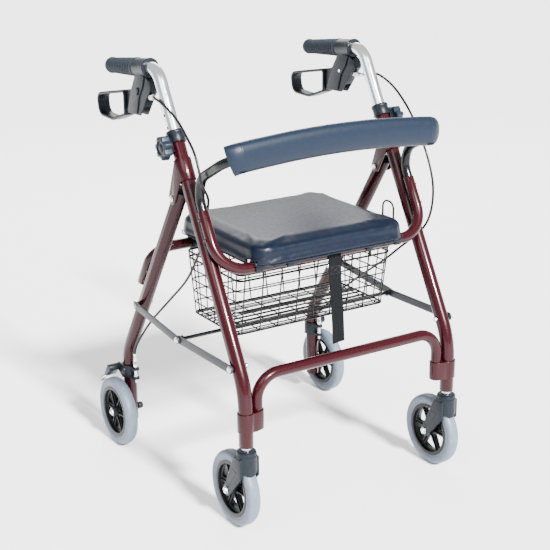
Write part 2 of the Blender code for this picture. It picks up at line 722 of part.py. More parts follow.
# ---- Wheels and casters ------------------------------------------------------------------------
def make_wheel(name, side, x, y, body):
    """A spoked rim with its hub, and the tyre on it."""
    centre = Vector((side * x, y, WHEEL_RADIUS))
    hub, web, ring = 0.0155, 0.0040, 0.0115
    profile = [
        (0.0043, -hub), (0.0110, -hub), (0.0110, -web), (0.0480, -web), (0.0500, -ring),
        (RIM_RADIUS, -ring), (RIM_RADIUS, ring), (0.0500, ring), (0.0480, web), (0.0110, web),
        (0.0110, hub), (0.0043, hub),
    ]
    sides = 24
    rim = turned(profile, centre, X_AXIS, sides)
    spokes = 6
    for index in range(spokes):
        middle = 360 * (index + 0.5) / spokes
        window = arc((0, 0), 0.0460, middle - 22, middle + 22, 3)
        window += arc((0, 0), 0.0180, middle + 12, middle - 12, 1)
        window = [(centre.y + a, centre.z + b) for a, b in window]
        cut(rim, slab(window, centre.x - 0.01, centre.x + 0.01))
    finish(name + "_rim_" + ("left" if side > 0 else "right"), rim, "rim_plastic", body)

    half = TYRE_WIDTH / 2
    seat = RIM_RADIUS + GAP
    profile = [
        (seat, -0.0115), (0.0660, -half), (0.0735, -0.0110), (WHEEL_RADIUS, -0.0050),
        (WHEEL_RADIUS, 0.0050), (0.0735, 0.0110), (0.0660, half), (seat, 0.0115),
    ]
    tyre = turned(profile, centre, X_AXIS, sides)
    finish(name + "_tyre_" + ("left" if side > 0 else "right"), tyre, "tyre_rubber", body)


def make_caster(label, side):
    body = "caster_" + label
    x = side * LEG_X
    axle = (STEM_Y + CASTER_TRAIL, WHEEL_RADIUS)
    cheek, slot = 0.0215, 0.0165
    top = 0.1735
    boss = [(0, 0.1165), (0.0195, 0.1165), (cheek, 0.1220), (cheek, top - 0.003),
            (cheek - 0.003, top), (0, top)]
    fork = turned(boss, Vector((x, STEM_Y, 0)), Z_AXIS, 20, closed=False)
    outline = arc(axle, 0.0125, 55, -125, 8) + [
        (STEM_Y - 0.0120, 0.1200), (STEM_Y - 0.0120, 0.1690), (STEM_Y + 0.0215, 0.1690),
        (STEM_Y + 0.0245, 0.1450),
    ]
    join(fork, slab(outline, x - cheek + 0.0002, x + cheek - 0.0002))
    cut(
        fork,
        rod((x - slot, *axle), (x + slot, *axle), WHEEL_RADIUS + 0.0035, 32),
        rod((x - 0.04, *axle), (x + 0.04, *axle), 0.0043, 10),
        rod((x, STEM_Y, 0.1500), (x, STEM_Y, 0.1900), 0.0063, 12),
    )
    finish("caster_fork_" + label, fork, "black_plastic", body)

    leg_end = FRONT_LEG_BOTTOM - GAP
    stem = [
        (0, 0.1505), (0.0060, 0.1505), (0.0060, top + GAP), (0.0135, top + GAP),
        (0.0135, leg_end), (LEG_BORE - GAP, leg_end), (LEG_BORE - GAP, 0.2150), (0, 0.2150),
    ]
    stem = turned(stem, Vector((x, STEM_Y, 0)), Z_AXIS, TUBE_SIDES, closed=False)
    finish("caster_stem_" + label, stem, "bright_metal", body)

    nut = cheek + GAP
    pin = bolt(side, *axle, [
        (0.0075, LEG_X - nut - 0.0040, LEG_X - nut),
        (0.0040, LEG_X - nut, LEG_X + nut),
        (0.0075, LEG_X + nut, LEG_X + nut + 0.0040),
    ])
    finish("front_axle_" + label, pin, "bright_metal", body)
    make_wheel("front", side, LEG_X, axle[0], "front_wheel_" + label)


# ---- Folding braces ----------------------------------------------------------------------------
def make_braces(label, side):
    nut = LEG_X - LEG_RADIUS - GAP
    spacer = LEG_X + LEG_RADIUS + GAP
    front_face = FRONT_BRACE_X + BRACE_THICKNESS
    outline = band(BRACE_FRONT, BRACE_RADIUS, BRACE_MIDDLE, BRACE_RADIUS)
    link = slab(outline, side * FRONT_BRACE_X, side * front_face)
    join(link, bolt(side, *BRACE_FRONT, [
        (0.0060, nut - 0.0041, nut), (0.0030, nut, spacer), (0.0065, spacer, FRONT_BRACE_X + 0.001),
        (0.0060, FRONT_BRACE_X + 0.001, front_face + 0.0032),
    ]))
    cut(link, rod((side * 0.25, *BRACE_MIDDLE), (side * 0.28, *BRACE_MIDDLE), 0.0043, 10))
    finish("front_brace_" + label, link, "grey_steel", "front_brace")

    rear_face = REAR_BRACE_X + BRACE_THICKNESS
    outline = band(BRACE_REAR, BRACE_RADIUS, BRACE_MIDDLE, BRACE_RADIUS)
    link = slab(outline, side * REAR_BRACE_X, side * rear_face)
    join(
        link,
        bolt(side, *BRACE_REAR, [
            (0.0060, nut - 0.0041, nut), (0.0030, nut, spacer),
            (0.0065, spacer, REAR_BRACE_X + 0.001), (0.0060, REAR_BRACE_X + 0.001, rear_face + 0.0035),
        ]),
        bolt(side, *BRACE_MIDDLE, [(0.0060, REAR_BRACE_X + 0.001, rear_face + 0.0035)]),
    )
    finish("rear_brace_" + label, link, "grey_steel", "rear_brace")


def make_cross_rod():
    """The bar that ties the braces' middle joints together across the walker."""
    bush = FRONT_BRACE_X - GAP
    end = FRONT_BRACE_X + BRACE_THICKNESS
    bar = bolt(1, *BRACE_MIDDLE, [
        (0.0040, -end, -bush), (0.0075, -bush, -bush + 0.008), (0.0040, -bush + 0.008, bush - 0.008),
        (0.0075, bush - 0.008, bush), (0.0040, bush, end),
    ])
    finish("cross_rod", bar, "black_steel", "front_brace")


# ---- Seat, basket, strap and cables ------------------------------------------------------------
def seat_outline(inset, radius):
    width = SEAT_HALF_WIDTH - inset
    front, rear = SEAT_FRONT_Y + inset, SEAT_REAR_Y - inset
    return rounded_outline([
        (-width, front, radius), (width, front, radius), (width, rear, radius), (-width, rear, radius),
    ], steps=5)


def make_seat():
    """The seat board with its hinge clips and bag hook, and the cushion wrapped round its edges."""
    board_bottom, board_top = SEAT_BOARD
    board = plate(seat_outline(0.0078, 0.0192), board_bottom, board_top)
    centre = (SEAT_TUBE_Y, SEAT_TUBE_Z)
    inner, outer = RAIL_RADIUS + GAP, RAIL_RADIUS + 0.0038
    for x in (-0.165, -0.094, 0.094, 0.165):
        clip = slab(
            arc(centre, outer, -35, 215, 14) + arc(centre, inner, 215, -35, 14), x - 0.008, x + 0.008
        )
        foot = plate([
            (x - 0.008, SEAT_TUBE_Y - 0.008), (x + 0.008, SEAT_TUBE_Y - 0.008),
            (x + 0.008, SEAT_TUBE_Y + 0.008), (x - 0.008, SEAT_TUBE_Y + 0.008),
        ], SEAT_TUBE_Z + inner + 0.0010, board_bottom + 0.0010)
        join(board, join(clip, foot))
    y, x, low = STEM_Y + 0.160, 0.1920, board_bottom - 0.0155
    hook = rounded_path([
        (0.1600, y, board_bottom + 0.0030), (0.1600, y, low, 0.005), (x, y, low, 0.006),
        (x, y, 0.5660, 0.015), (x, y - 0.036, 0.5660, 0.015),
        (x, y - 0.036, 0.5340, 0.006), (x, y - 0.045, 0.5270),
    ])
    join(board, tube(hook, 0.0021, sides=8))
    finish("seat_board", board, "black_plastic", "seat")

    levels = [
        (0.0, board_bottom, 0.034), (0.0, SEAT_TOP - 0.006, 0.034), (0.0045, SEAT_TOP, 0.030),
    ]
    rings = [
        [Vector((x, y, z)) for x, y in seat_outline(inset, radius)] for inset, z, radius in levels
    ]
    cushion = loft(rings)
    cut(cushion, plate(seat_outline(0.0070, 0.0200), board_bottom - 0.01, board_top + GAP))
    finish("seat_cushion", cushion, "seat_vinyl", "seat", 50.0)


def basket_ring(half_width, front, rear, z, radius=0.014):
    outline = rounded_outline([
        (-half_width, front, radius), (half_width, front, radius),
        (half_width, rear, radius), (-half_width, rear, radius),
    ])
    return [Vector((x, y, z)) for x, y in outline]


def make_basket():
    """The basket as an open tray of its true size, with two hooks over the front seat tube."""
    top_z, bottom_z, wall = 0.4790, 0.3460, 0.003
    top_front, top_rear = STEM_Y + 0.115, STEM_Y + 0.3335
    bottom_front, bottom_rear = STEM_Y + 0.137, STEM_Y + 0.3130
    tray = loft([
        basket_ring(0.1825, bottom_front, bottom_rear, bottom_z),
        basket_ring(0.1850, top_front, top_rear, top_z),
        basket_ring(0.1850 - wall, top_front + wall, top_rear - wall, top_z, 0.011),
        basket_ring(0.1825 - wall, bottom_front + wall, bottom_rear - wall, bottom_z + wall, 0.011),
    ])
    centre = (SEAT_TUBE_Y, SEAT_TUBE_Z)
    inner, outer = RAIL_RADIUS + 0.0004, RAIL_RADIUS + 0.0032
    outline = arc(centre, outer, 25, 200, 10) + arc(centre, inner, 200, 25, 10)
    legs = [
        (centre[0] + 0.0106, centre[1] + 0.0050), (top_front + 0.0002, top_z - 0.0045),
        (top_front + 0.0028, top_z - 0.0010), (centre[0] + 0.0130, centre[1] + 0.0060),
    ]
    for x in (-0.1300, 0.1300):
        hook = slab(outline, x - 0.002, x + 0.002)
        join(tray, join(hook, slab(legs, x - 0.002, x + 0.002)))
    finish("basket", tray, "black_steel", "basket")


def make_fold_strap():
    """The webbing strap that loops round the front seat tube and hangs from it."""
    centre = Vector((0.013, SEAT_TUBE_Y, SEAT_TUBE_Z))
    half = 0.0145
    inner, outer = RAIL_RADIUS + GAP, RAIL_RADIUS + 0.0021
    strap = turned(
        [(inner, -half), (outer, -half), (outer, half), (inner, half)], centre, X_AXIS, 20
    )
    face = SEAT_TUBE_Y - outer
    tail = [
        (face - 0.0006, 0.3150), (face + 0.0010, 0.3150),
        (face + 0.0010, SEAT_TUBE_Z), (face - 0.0006, SEAT_TUBE_Z),
    ]
    join(strap, slab(tail, centre.x - half, centre.x + half))
    finish("fold_strap", strap, "webbing", "strap")


CABLE_RADIUS = 0.0025
CABLE_POINTS = 40
# Offsets (x outboard, y behind the caster stem, z) down each side, chosen by hand.
CABLE_ROUTES = {
    "right": [
        (0.2487, 0.3225, 0.8005), (0.2530, 0.3110, 0.8020), (0.2590, 0.2960, 0.8030),
        (0.2613, 0.2700, 0.8000), (0.2613, 0.2290, 0.7870), (0.2613, 0.1985, 0.7725),
        (0.2613, 0.1720, 0.7530), (0.2613, 0.1406, 0.7250), (0.2615, 0.1235, 0.6930),
        (0.2600, 0.1200, 0.6720), (0.2480, 0.1280, 0.6530), (0.2370, 0.1390, 0.6400),
        (0.2310, 0.1460, 0.6280), (0.2287, 0.1530, 0.6110), (0.2268, 0.1649, 0.5851),
        (0.2268, 0.1791, 0.5419), (0.2268, 0.2014, 0.5040), (0.2268, 0.2520, 0.4410),
        (0.2290, 0.3240, 0.3790), (0.2350, 0.3960, 0.3160), (0.2420, 0.4380, 0.2680),
        (0.2445, 0.4610, 0.2380), (0.2445, 0.4722, 0.2170), (0.2445, 0.4735, 0.2056),
    ],
    "left": [
        (0.2487, 0.3225, 0.8005), (0.2530, 0.3120, 0.8015), (0.2590, 0.2960, 0.8035),
        (0.2616, 0.2740, 0.8050), (0.2616, 0.2290, 0.7900), (0.2616, 0.1890, 0.7640),
        (0.2625, 0.1550, 0.7300), (0.2640, 0.1240, 0.6860), (0.2640, 0.1000, 0.6430),
        (0.2635, 0.0860, 0.6020), (0.2630, 0.0860, 0.5600), (0.2630, 0.1000, 0.5210),
        (0.2610, 0.1260, 0.4900), (0.2480, 0.1440, 0.4700), (0.2340, 0.1640, 0.4480),
        (0.2270, 0.1960, 0.4200), (0.2270, 0.2600, 0.3760), (0.2290, 0.3240, 0.3320),
        (0.2360, 0.3900, 0.2850), (0.2430, 0.4410, 0.2410), (0.2445, 0.4690, 0.2180),
        (0.2445, 0.4735, 0.2056),
    ],
}


def smooth_line(points, count):
    """Evenly spread points on the Catmull-Rom curve through a few given ones."""
    ends = [points[0] * 2 - points[1]] + points + [points[-1] * 2 - points[-2]]
    spans = len(points) - 1
    line = []
    for index in range(count):
        place = index * spans / (count - 1)
        span = min(int(place), spans - 1)
        t = place - span
        a, b, c, d = ends[span:span + 4]
        line.append(0.5 * (2 * b + (c - a) * t + (2 * a - 5 * b + 4 * c - d) * t ** 2
                           + (3 * b - a - 3 * c + d) * t ** 3))
    return line


def make_brake_cable(label, side):
    """A brake cable's housing, from the lever's adjuster down the frame to the rear brake."""
    route = [Vector((side * x, STEM_Y + y, z)) for x, y, z in CABLE_ROUTES[label]]
    curve = bpy.data.curves.new("cable", "CURVE")
    curve.dimensions = "3D"
    curve.bevel_depth = CABLE_RADIUS
    curve.bevel_resolution = 2
    curve.use_fill_caps = True
    line = smooth_line(route, CABLE_POINTS)
    spline = curve.splines.new("POLY")
    spline.points.add(len(line) - 1)
    for point, place in zip(spline.points, line):
        point.co = (*place, 1.0)
    cable = bpy.data.objects.new("brake_cable_" + label, curve)
    curve.materials.append(MATERIALS["cable_black"])
    cable.parent = BODIES["root"]
    bpy.context.collection.objects.link(cable)


# ---- Assembly ----------------------------------------------------------------------------------
make_front_seat_tube()
make_lower_cross_tube()
make_backrest()
make_rear_seat_tube()
make_cross_rod()
make_seat()
make_basket()
make_fold_strap()
for label, sign in SIDES.items():
    make_front_leg(label, sign)
    make_leg_clamp(label, sign)
    make_fold_bracket(label, sign)
    make_height_collar(label, sign)
    make_height_knob(label, sign)
    make_rear_leg(label, sign)
    make_seat_rest(label, sign)
    make_fold_bolt(label, sign)
    make_rear_axle(label, sign)
    make_brake_clamp(label, sign)
    make_brake_arm(label, sign)
    make_handle_tube(label, sign)
    make_grip(label, sign)
    make_brake_bracket(label, sign)
    make_brake_lever(label, sign)
    make_caster(label, sign)
    make_wheel("rear", sign, REAR_WHEEL_X, REAR_AXLE_Y, "rear_wheel_" + label)
    make_braces(label, sign)
    make_brake_cable(label, sign)
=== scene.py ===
"""Looks of the four-wheeled rollator walker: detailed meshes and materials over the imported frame.

Metres, +Z up, in the frame's own coordinates: casters and backrest towards -Y, grips and rear
wheels towards +Y, the origin on the floor under the middle.
"""
import math

import bmesh
import bpy
from mathutils import Matrix, Vector


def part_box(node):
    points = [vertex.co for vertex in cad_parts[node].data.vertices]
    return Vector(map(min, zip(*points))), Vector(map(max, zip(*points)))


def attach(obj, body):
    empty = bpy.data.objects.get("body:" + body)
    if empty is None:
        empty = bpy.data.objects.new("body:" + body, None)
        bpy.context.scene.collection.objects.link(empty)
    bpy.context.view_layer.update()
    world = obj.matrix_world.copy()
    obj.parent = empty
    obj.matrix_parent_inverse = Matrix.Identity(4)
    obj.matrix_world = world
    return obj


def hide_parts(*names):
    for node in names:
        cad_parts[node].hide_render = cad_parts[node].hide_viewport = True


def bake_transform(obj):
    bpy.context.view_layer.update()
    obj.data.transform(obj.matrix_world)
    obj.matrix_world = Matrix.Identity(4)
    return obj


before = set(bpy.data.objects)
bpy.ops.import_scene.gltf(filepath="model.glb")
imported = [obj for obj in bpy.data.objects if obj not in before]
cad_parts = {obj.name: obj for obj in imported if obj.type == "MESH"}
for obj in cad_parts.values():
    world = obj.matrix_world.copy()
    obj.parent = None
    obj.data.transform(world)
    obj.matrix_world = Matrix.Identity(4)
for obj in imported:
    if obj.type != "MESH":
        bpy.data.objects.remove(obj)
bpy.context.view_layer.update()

# ---- Driving dimensions, read from the frame or shared with the CAD ----------------------------
X_AXIS = Vector((1, 0, 0))
Y_AXIS = Vector((0, 1, 0))
Z_AXIS = Vector((0, 0, 1))
GAP = 0.0003
SIDES = {"left": 1, "right": -1}


def span(node, axis):
    """Lowest and highest coordinate of a frame node along one axis."""
    low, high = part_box(node)
    return low[axis], high[axis]


WHEEL_RADIUS = span("rear_tyre_left", 2)[1] / 2
CASTER_TRAIL = 0.043
LEG_X = sum(span("front_leg_left", 0)) / 2
STEM_Y = span("front_leg_left", 1)[0] + 0.0143
REAR_AXLE_Y = sum(span("rear_tyre_left", 1)) / 2
REAR_WHEEL_X = sum(span("rear_tyre_left", 0)) / 2
LEG_RADIUS = 0.0143
LEG_WALL = 0.0013
RAIL_RADIUS = 0.0111
RAIL_WALL = 0.0012
HANDLE_RADIUS = 0.0127
HANDLE_WALL = 0.0015
BACK_RADIUS = 0.0095
CABLE_RADIUS = 0.0025
BOLT_HOLE = 0.0033              # radius of the holes for the pivot bolts
FRONT_RAKE = math.radians(61.3)
REAR_RAKE = math.radians(56.6)
FRONT_BEND_Z = 0.293
FRONT_LEG_BOTTOM = 0.181
FRONT_LEG_LENGTH = 0.508
FOLD_Y = STEM_Y + 0.2365
FOLD_Z = 0.617
SEAT_TUBE_Z = 0.5015
REAR_RAIL_Z = 0.482
REAR_RAIL_SETBACK = 0.030
CROSS_TUBE_Z = 0.3155
CROSS_TUBE_X = 0.2175
SEAT_BOTTOM = 0.5045             # lower edge of the cover, turned down past the seat board
SEAT_BOARD = (0.5166, 0.5216)    # underside and top of the seat board
KNOB_ALONG = 0.486
HANDLE_CORNER = 0.6444
GRIP_SLOPE = math.radians(-4.8)
BAND_START = 0.034
GRIP_START = 0.082
GRIP_LENGTH = 0.129
LEVER_PIVOT = (STEM_Y + 0.379, 0.803)
ARM_PIVOT = (STEM_Y + 0.520, 0.174)

FRONT_UP = Vector((0, math.cos(FRONT_RAKE), math.sin(FRONT_RAKE)))
FRONT_OUT = Vector((0, -math.sin(FRONT_RAKE), math.cos(FRONT_RAKE)))
REAR_DOWN = Vector((0, math.cos(REAR_RAKE), -math.sin(REAR_RAKE)))
REAR_OUT = Vector((0, math.sin(REAR_RAKE), math.cos(REAR_RAKE)))
GRIP_AXIS = Vector((0, math.cos(GRIP_SLOPE), math.sin(GRIP_SLOPE)))


def front_leg(side, along, out=0.0):
    """A point on a front leg's slope: distance above its bend, and out from it to the front."""
    bend = Vector((side * LEG_X, STEM_Y, FRONT_BEND_Z))
    return bend + FRONT_UP * along + FRONT_OUT * out


def rear_leg(side, along, out=0.0):
    """A point on a rear leg's slope: distance below the fold pivot, and out to the rear."""
    return Vector((side * LEG_X, FOLD_Y, FOLD_Z)) + REAR_DOWN * along + REAR_OUT * out


def grip_point(side, along):
    """A point on a grip's axis, at a distance from the handle's corner."""
    return front_leg(side, HANDLE_CORNER) + GRIP_AXIS * along


RAIL_STANDOFF = LEG_RADIUS + RAIL_RADIUS + GAP
ARM_CORNER = (SEAT_TUBE_Z - front_leg(1, 0, RAIL_STANDOFF).z) / FRONT_UP.z
SEAT_TUBE_Y = front_leg(1, ARM_CORNER, RAIL_STANDOFF).y
REAR_CORNER = (rear_leg(1, 0, REAR_RAIL_SETBACK).z - REAR_RAIL_Z) / -REAR_DOWN.z
REAR_RAIL_Y = rear_leg(1, REAR_CORNER, REAR_RAIL_SETBACK).y
REAR_BEND = (REAR_AXLE_Y - FOLD_Y) / REAR_DOWN.y
BRACE_FRONT = (front_leg(1, 0.0467).y, front_leg(1, 0.0467).z)
BRACE_MIDDLE = (STEM_Y + 0.225, 0.330)
BRACE_REAR = (rear_leg(1, 0.321).y, rear_leg(1, 0.321).z)

TUBE_SIDES = 36
BEND_STEP = 6.0


# ---- Camera, light and floor -------------------------------------------------------------------
def make_camera():
    """The view from in front and above: turned 32 degrees from +Y, tipped 18 degrees down."""
    turn = math.radians(32.11)
    drop = math.radians(-17.87)
    forward = Vector((
        math.sin(turn) * math.cos(drop), math.cos(turn) * math.cos(drop), math.sin(drop)
    ))
    camera = bpy.data.objects.new("camera", bpy.data.cameras.new("camera"))
    camera.data.lens = 81.14
    camera.data.sensor_width = 36.0
    camera.location = (-1.3317, STEM_Y - 1.8416, 1.2105)
    roll = Matrix.Rotation(math.radians(-0.64), 3, "Z")
    rotation = forward.to_track_quat("-Z", "Y").to_matrix() @ roll
    camera.rotation_euler = rotation.to_euler()
    bpy.context.collection.objects.link(camera)
    bpy.context.scene.camera = camera


def make_light(name, location, target, size, power, colour=(1, 1, 1)):
    data = bpy.data.lights.new(name, "AREA")
    data.shape = "RECTANGLE"
    data.size, data.size_y = size
    data.energy = power
    data.color = colour
    light = bpy.data.objects.new(name, data)
    light.location = location
    aim = Vector(target) - Vector(location)
    light.rotation_euler = aim.to_track_quat("-Z", "Y").to_euler()
    bpy.context.collection.objects.link(light)


def make_sun(name, source, spread, strength):
    """A distant softbox: it comes from the source's direction, and is spread degrees wide."""
    data = bpy.data.lights.new(name, "SUN")
    data.angle = math.radians(spread)
    data.energy = strength
    light = bpy.data.objects.new(name, data)
    light.rotation_euler = (-Vector(source)).to_track_quat("-Z", "Y").to_euler()
    bpy.context.collection.objects.link(light)


def make_studio():
    make_sun("sun", (0.02, -0.85, 0.60), 7.0, 18.0)
    make_light("key", (-2.2, -1.6, 2.9), (0, 0, 0.45), (1.8, 1.8), 60)
    make_light("rim", (1.4, 2.6, 2.3), (0, 0, 0.5), (2.0, 1.2), 50)
    world = bpy.data.worlds.new("studio")
    world.use_nodes = True
    shader = world.node_tree.nodes["Background"]
    shader.inputs["Color"].default_value = (1.0, 1.0, 1.0, 1.0)
    shader.inputs["Strength"].default_value = 1.0
    bpy.context.scene.world = world
    builder = bmesh.new()
    bmesh.ops.create_grid(builder, x_segments=1, y_segments=1, size=30.0)
    mesh = bpy.data.meshes.new("floor")
    builder.to_mesh(mesh)
    builder.free()
    floor = bpy.data.objects.new("floor", mesh)
    floor.location.z = -0.0005
    bpy.context.collection.objects.link(floor)
    material = bpy.data.materials.new("floor_white")
    material.use_nodes = True
    shader = material.node_tree.nodes["Principled BSDF"]
    shader.inputs["Base Color"].default_value = (0.93, 0.93, 0.93, 1)
    shader.inputs["Roughness"].default_value = 0.7
    mesh.materials.append(material)


# ---- Materials ---------------------------------------------------------------------------------
class Surface:
    """A Principled material, with helpers that link procedural detail to it."""

    def __init__(self, name, colour, roughness, metallic=0.0, **sockets):
        self.material = bpy.data.materials.new(name)
        self.material.use_nodes = True
        self.nodes = self.material.node_tree.nodes
        self.links = self.material.node_tree.links
        self.shader = self.nodes["Principled BSDF"]
        self.shader.inputs["Base Color"].default_value = (*colour, 1)
        self.shader.inputs["Roughness"].default_value = roughness
        self.shader.inputs["Metallic"].default_value = metallic
        for socket, value in sockets.items():
            self.shader.inputs[socket.replace("_", " ")].default_value = value
        self.place = self.nodes.new("ShaderNodeTexCoord").outputs["Object"]
        self.normal = None

    def stretched(self, scale):
        mapping = self.nodes.new("ShaderNodeMapping")
        mapping.inputs["Scale"].default_value = scale
        self.links.new(self.place, mapping.inputs["Vector"])
        return mapping.outputs["Vector"]

    def noise(self, scale, detail=4.0, stretch=None):
        node = self.nodes.new("ShaderNodeTexNoise")
        node.inputs["Scale"].default_value = scale
        node.inputs["Detail"].default_value = detail
        self.links.new(self.stretched(stretch) if stretch else self.place, node.inputs["Vector"])
        return node.outputs["Fac"]

    def cells(self, scale, feature="F1"):
        node = self.nodes.new("ShaderNodeTexVoronoi")
        node.feature = feature
        node.inputs["Scale"].default_value = scale
        self.links.new(self.place, node.inputs["Vector"])
        return node.outputs["Distance"]

    def wave(self, scale, direction, distortion=0.0):
        node = self.nodes.new("ShaderNodeTexWave")
        node.bands_direction = direction
        node.inputs["Scale"].default_value = scale
        node.inputs["Distortion"].default_value = distortion
        self.links.new(self.place, node.inputs["Vector"])
        return node.outputs["Fac"]

    def math(self, operation, first, second):
        node = self.nodes.new("ShaderNodeMath")
        node.operation = operation
        for value, socket in zip((first, second), node.inputs):
            if isinstance(value, (int, float)):
                socket.default_value = value
            else:
                self.links.new(value, socket)
        return node.outputs[0]

    def ramp(self, source, stops):
        node = self.nodes.new("ShaderNodeValToRGB")
        elements = node.color_ramp.elements
        for element, (place, value) in zip(elements, stops):
            colour = value if isinstance(value, tuple) else (value, value, value)
            element.position = place
            element.color = (*colour, 1)
        self.links.new(source, node.inputs["Fac"])
        return node.outputs["Color"]

    def tint(self, source, low, high, start=0.35, end=0.65):
        colours = self.ramp(source, [(start, low), (end, high)])
        self.links.new(colours, self.shader.inputs["Base Color"])
        return self

    def rough(self, source, low, high):
        values = self.ramp(source, [(0.3, low), (0.7, high)])
        self.links.new(values, self.shader.inputs["Roughness"])
        return self

    def bump(self, source, strength, depth):
        node = self.nodes.new("ShaderNodeBump")
        node.inputs["Strength"].default_value = strength
        node.inputs["Distance"].default_value = depth
        self.links.new(source, node.inputs["Height"])
        if self.normal:
            self.links.new(self.normal, node.inputs["Normal"])
        self.normal = node.outputs["Normal"]
        self.links.new(self.normal, self.shader.inputs["Normal"])
        return self


def burgundy_paint():
    """Deep wine enamel under clear lacquer: fine flake and orange peel."""
    paint = Surface("burgundy_paint", (0.0187, 0.0007, 0.0025), 0.24, 0.12, Coat_Weight=0.2,
                    Coat_Roughness=0.05, Specular_IOR_Level=0.15)
    paint.tint(paint.noise(500, 2), (0.0175, 0.0006, 0.0022), (0.0200, 0.0008, 0.0027))
    paint.rough(paint.noise(300, 2), 0.22, 0.31)
    paint.bump(paint.noise(2600, 1), 0.015, 0.0002)
    return paint.bump(paint.noise(160, 2), 0.02, 0.0004).material


def bright_metal():
    """Bright anodised tube and plated hardware, with fine drawn streaks."""
    metal = Surface("bright_metal", (0.72, 0.73, 0.76), 0.20, 1.0)
    metal.tint(metal.noise(35, 3), (0.68, 0.69, 0.72), (0.78, 0.79, 0.82))
    metal.rough(metal.noise(420, 4, (1, 0.15, 0.15)), 0.14, 0.28)
    return metal.bump(metal.noise(900, 3, (1, 0.08, 0.08)), 0.06, 0.0002).material


def grey_steel():
    """Satin grey flat bar with a fine rolled grain."""
    steel = Surface("grey_steel", (0.030, 0.031, 0.035), 0.40, 0.4, Specular_IOR_Level=0.25)
    steel.tint(steel.noise(700, 3), (0.026, 0.027, 0.031), (0.035, 0.036, 0.040))
    steel.rough(steel.noise(500, 2), 0.34, 0.46)
    return steel.bump(steel.noise(2200, 2), 0.08, 0.0002).material


def black_steel():
    """Glossy black powder coat on the backrest tube and the rod."""
    steel = Surface("black_steel", (0.004, 0.0045, 0.006), 0.22, 0.0, Coat_Weight=0.12,
                    Coat_Roughness=0.08, Specular_IOR_Level=0.2)
    steel.tint(steel.noise(500, 2), (0.0012, 0.0015, 0.0022), (0.0024, 0.0028, 0.0038))
    steel.rough(steel.noise(400, 2), 0.20, 0.30)
    return steel.bump(steel.noise(1300, 2), 0.06, 0.0002).material


def basket_wire():
    """Glossy black dip coating on wire."""
    wire = Surface("basket_wire", (0.006, 0.006, 0.007), 0.30, 0.0, Coat_Weight=0.08,
                   Coat_Roughness=0.15, Specular_IOR_Level=0.15)
    wire.tint(wire.noise(300, 3), (0.0012, 0.0011, 0.0012), (0.0034, 0.0030, 0.0030))
    return wire.bump(wire.noise(700, 2), 0.12, 0.0003).material


def moulded(name, dark, light, roughness, grain=1500):
    """Moulded plastic with a fine spark-eroded grain and a slightly uneven sheen."""
    plastic = Surface(name, dark, roughness, Specular_IOR_Level=0.2)
    plastic.tint(plastic.noise(120, 3), dark, light)
    plastic.rough(plastic.noise(260, 3), roughness - 0.05, roughness + 0.07)
    return plastic.bump(plastic.noise(grain, 2), 0.16, 0.0003).material


def grip_rubber():
    rubber = Surface("grip_rubber", (0.012, 0.018, 0.026), 0.62, 0.0, Sheen_Weight=0.02,
                     Sheen_Roughness=0.5, Specular_IOR_Level=0.2)
    rubber.tint(rubber.noise(160, 4), (0.0050, 0.0090, 0.0145), (0.0075, 0.0125, 0.0190))
    rubber.rough(rubber.noise(200, 3), 0.55, 0.70)
    return rubber.bump(rubber.noise(1800, 3), 0.25, 0.0004).material


def tyre_rubber():
    """Solid blue-grey tyre: satin, a little dustier in patches, with moulding grain."""
    rubber = Surface("tyre_rubber", (0.105, 0.125, 0.152), 0.45, 0.0, Specular_IOR_Level=0.35)
    rubber.tint(rubber.noise(90, 4), (0.090, 0.112, 0.148), (0.110, 0.136, 0.176))
    rubber.rough(rubber.noise(150, 4), 0.38, 0.54)
    return rubber.bump(rubber.noise(1200, 2), 0.14, 0.0004).material


def seat_vinyl():
    """Navy leathercloth: a fine pebbled grain over soft, shallow creasing."""
    vinyl = Surface("seat_vinyl", (0.005, 0.010, 0.020), 0.34, 0.0, Coat_Weight=0.04,
                    Coat_Roughness=0.25, Specular_IOR_Level=0.18)
    vinyl.tint(vinyl.noise(90, 4), (0.0008, 0.0027, 0.0085), (0.0013, 0.0040, 0.0115))
    vinyl.rough(vinyl.noise(140, 3), 0.30, 0.40)
    vinyl.bump(vinyl.noise(22, 2), 0.10, 0.0014)
    vinyl.bump(vinyl.cells(700), 0.16, 0.0005)
    return vinyl.bump(vinyl.noise(1500, 3), 0.10, 0.0003).material


def foam():
    """Closed-cell foam sleeve with a skinned, faintly dimpled surface."""
    skin = Surface("foam", (0.010, 0.019, 0.033), 0.50, 0.0, Sheen_Weight=0.03,
                   Sheen_Roughness=0.4, Specular_IOR_Level=0.22)
    skin.tint(skin.noise(140, 4), (0.0022, 0.0066, 0.0158), (0.0027, 0.0078, 0.0180))
    skin.rough(skin.noise(180, 3), 0.38, 0.47)
    return skin.bump(skin.cells(1100), 0.14, 0.0004).material


def webbing():
    """Woven strap: warp and weft waves in a basket weave, its hollows in painted shade."""
    weave = Surface("webbing", (0.004, 0.0045, 0.006), 0.80, 0.0, Sheen_Weight=0.02,
                    Sheen_Roughness=0.5, Specular_IOR_Level=0.1)
    warp = weave.wave(230, "X", 0.4)
    weft = weave.wave(190, "Z", 0.6)
    height = weave.math("MULTIPLY", warp, weft)
    # painted shade: the colour follows the weave's height, darker where the threads dip
    weave.tint(height, (0.0010, 0.0012, 0.0017), (0.0042, 0.0048, 0.0060), 0.1, 0.9)
    return weave.bump(height, 0.7, 0.0005).material


def cable_black():
    sleeve = Surface("cable_black", (0.005, 0.005, 0.006), 0.38, 0.0, Specular_IOR_Level=0.2)
    sleeve.tint(sleeve.noise(200, 3), (0.0015, 0.0015, 0.0020), (0.0035, 0.0035, 0.0042))
    sleeve.rough(sleeve.noise(200, 2), 0.32, 0.46)
    return sleeve.bump(sleeve.noise(1500, 2), 0.12, 0.0002).material


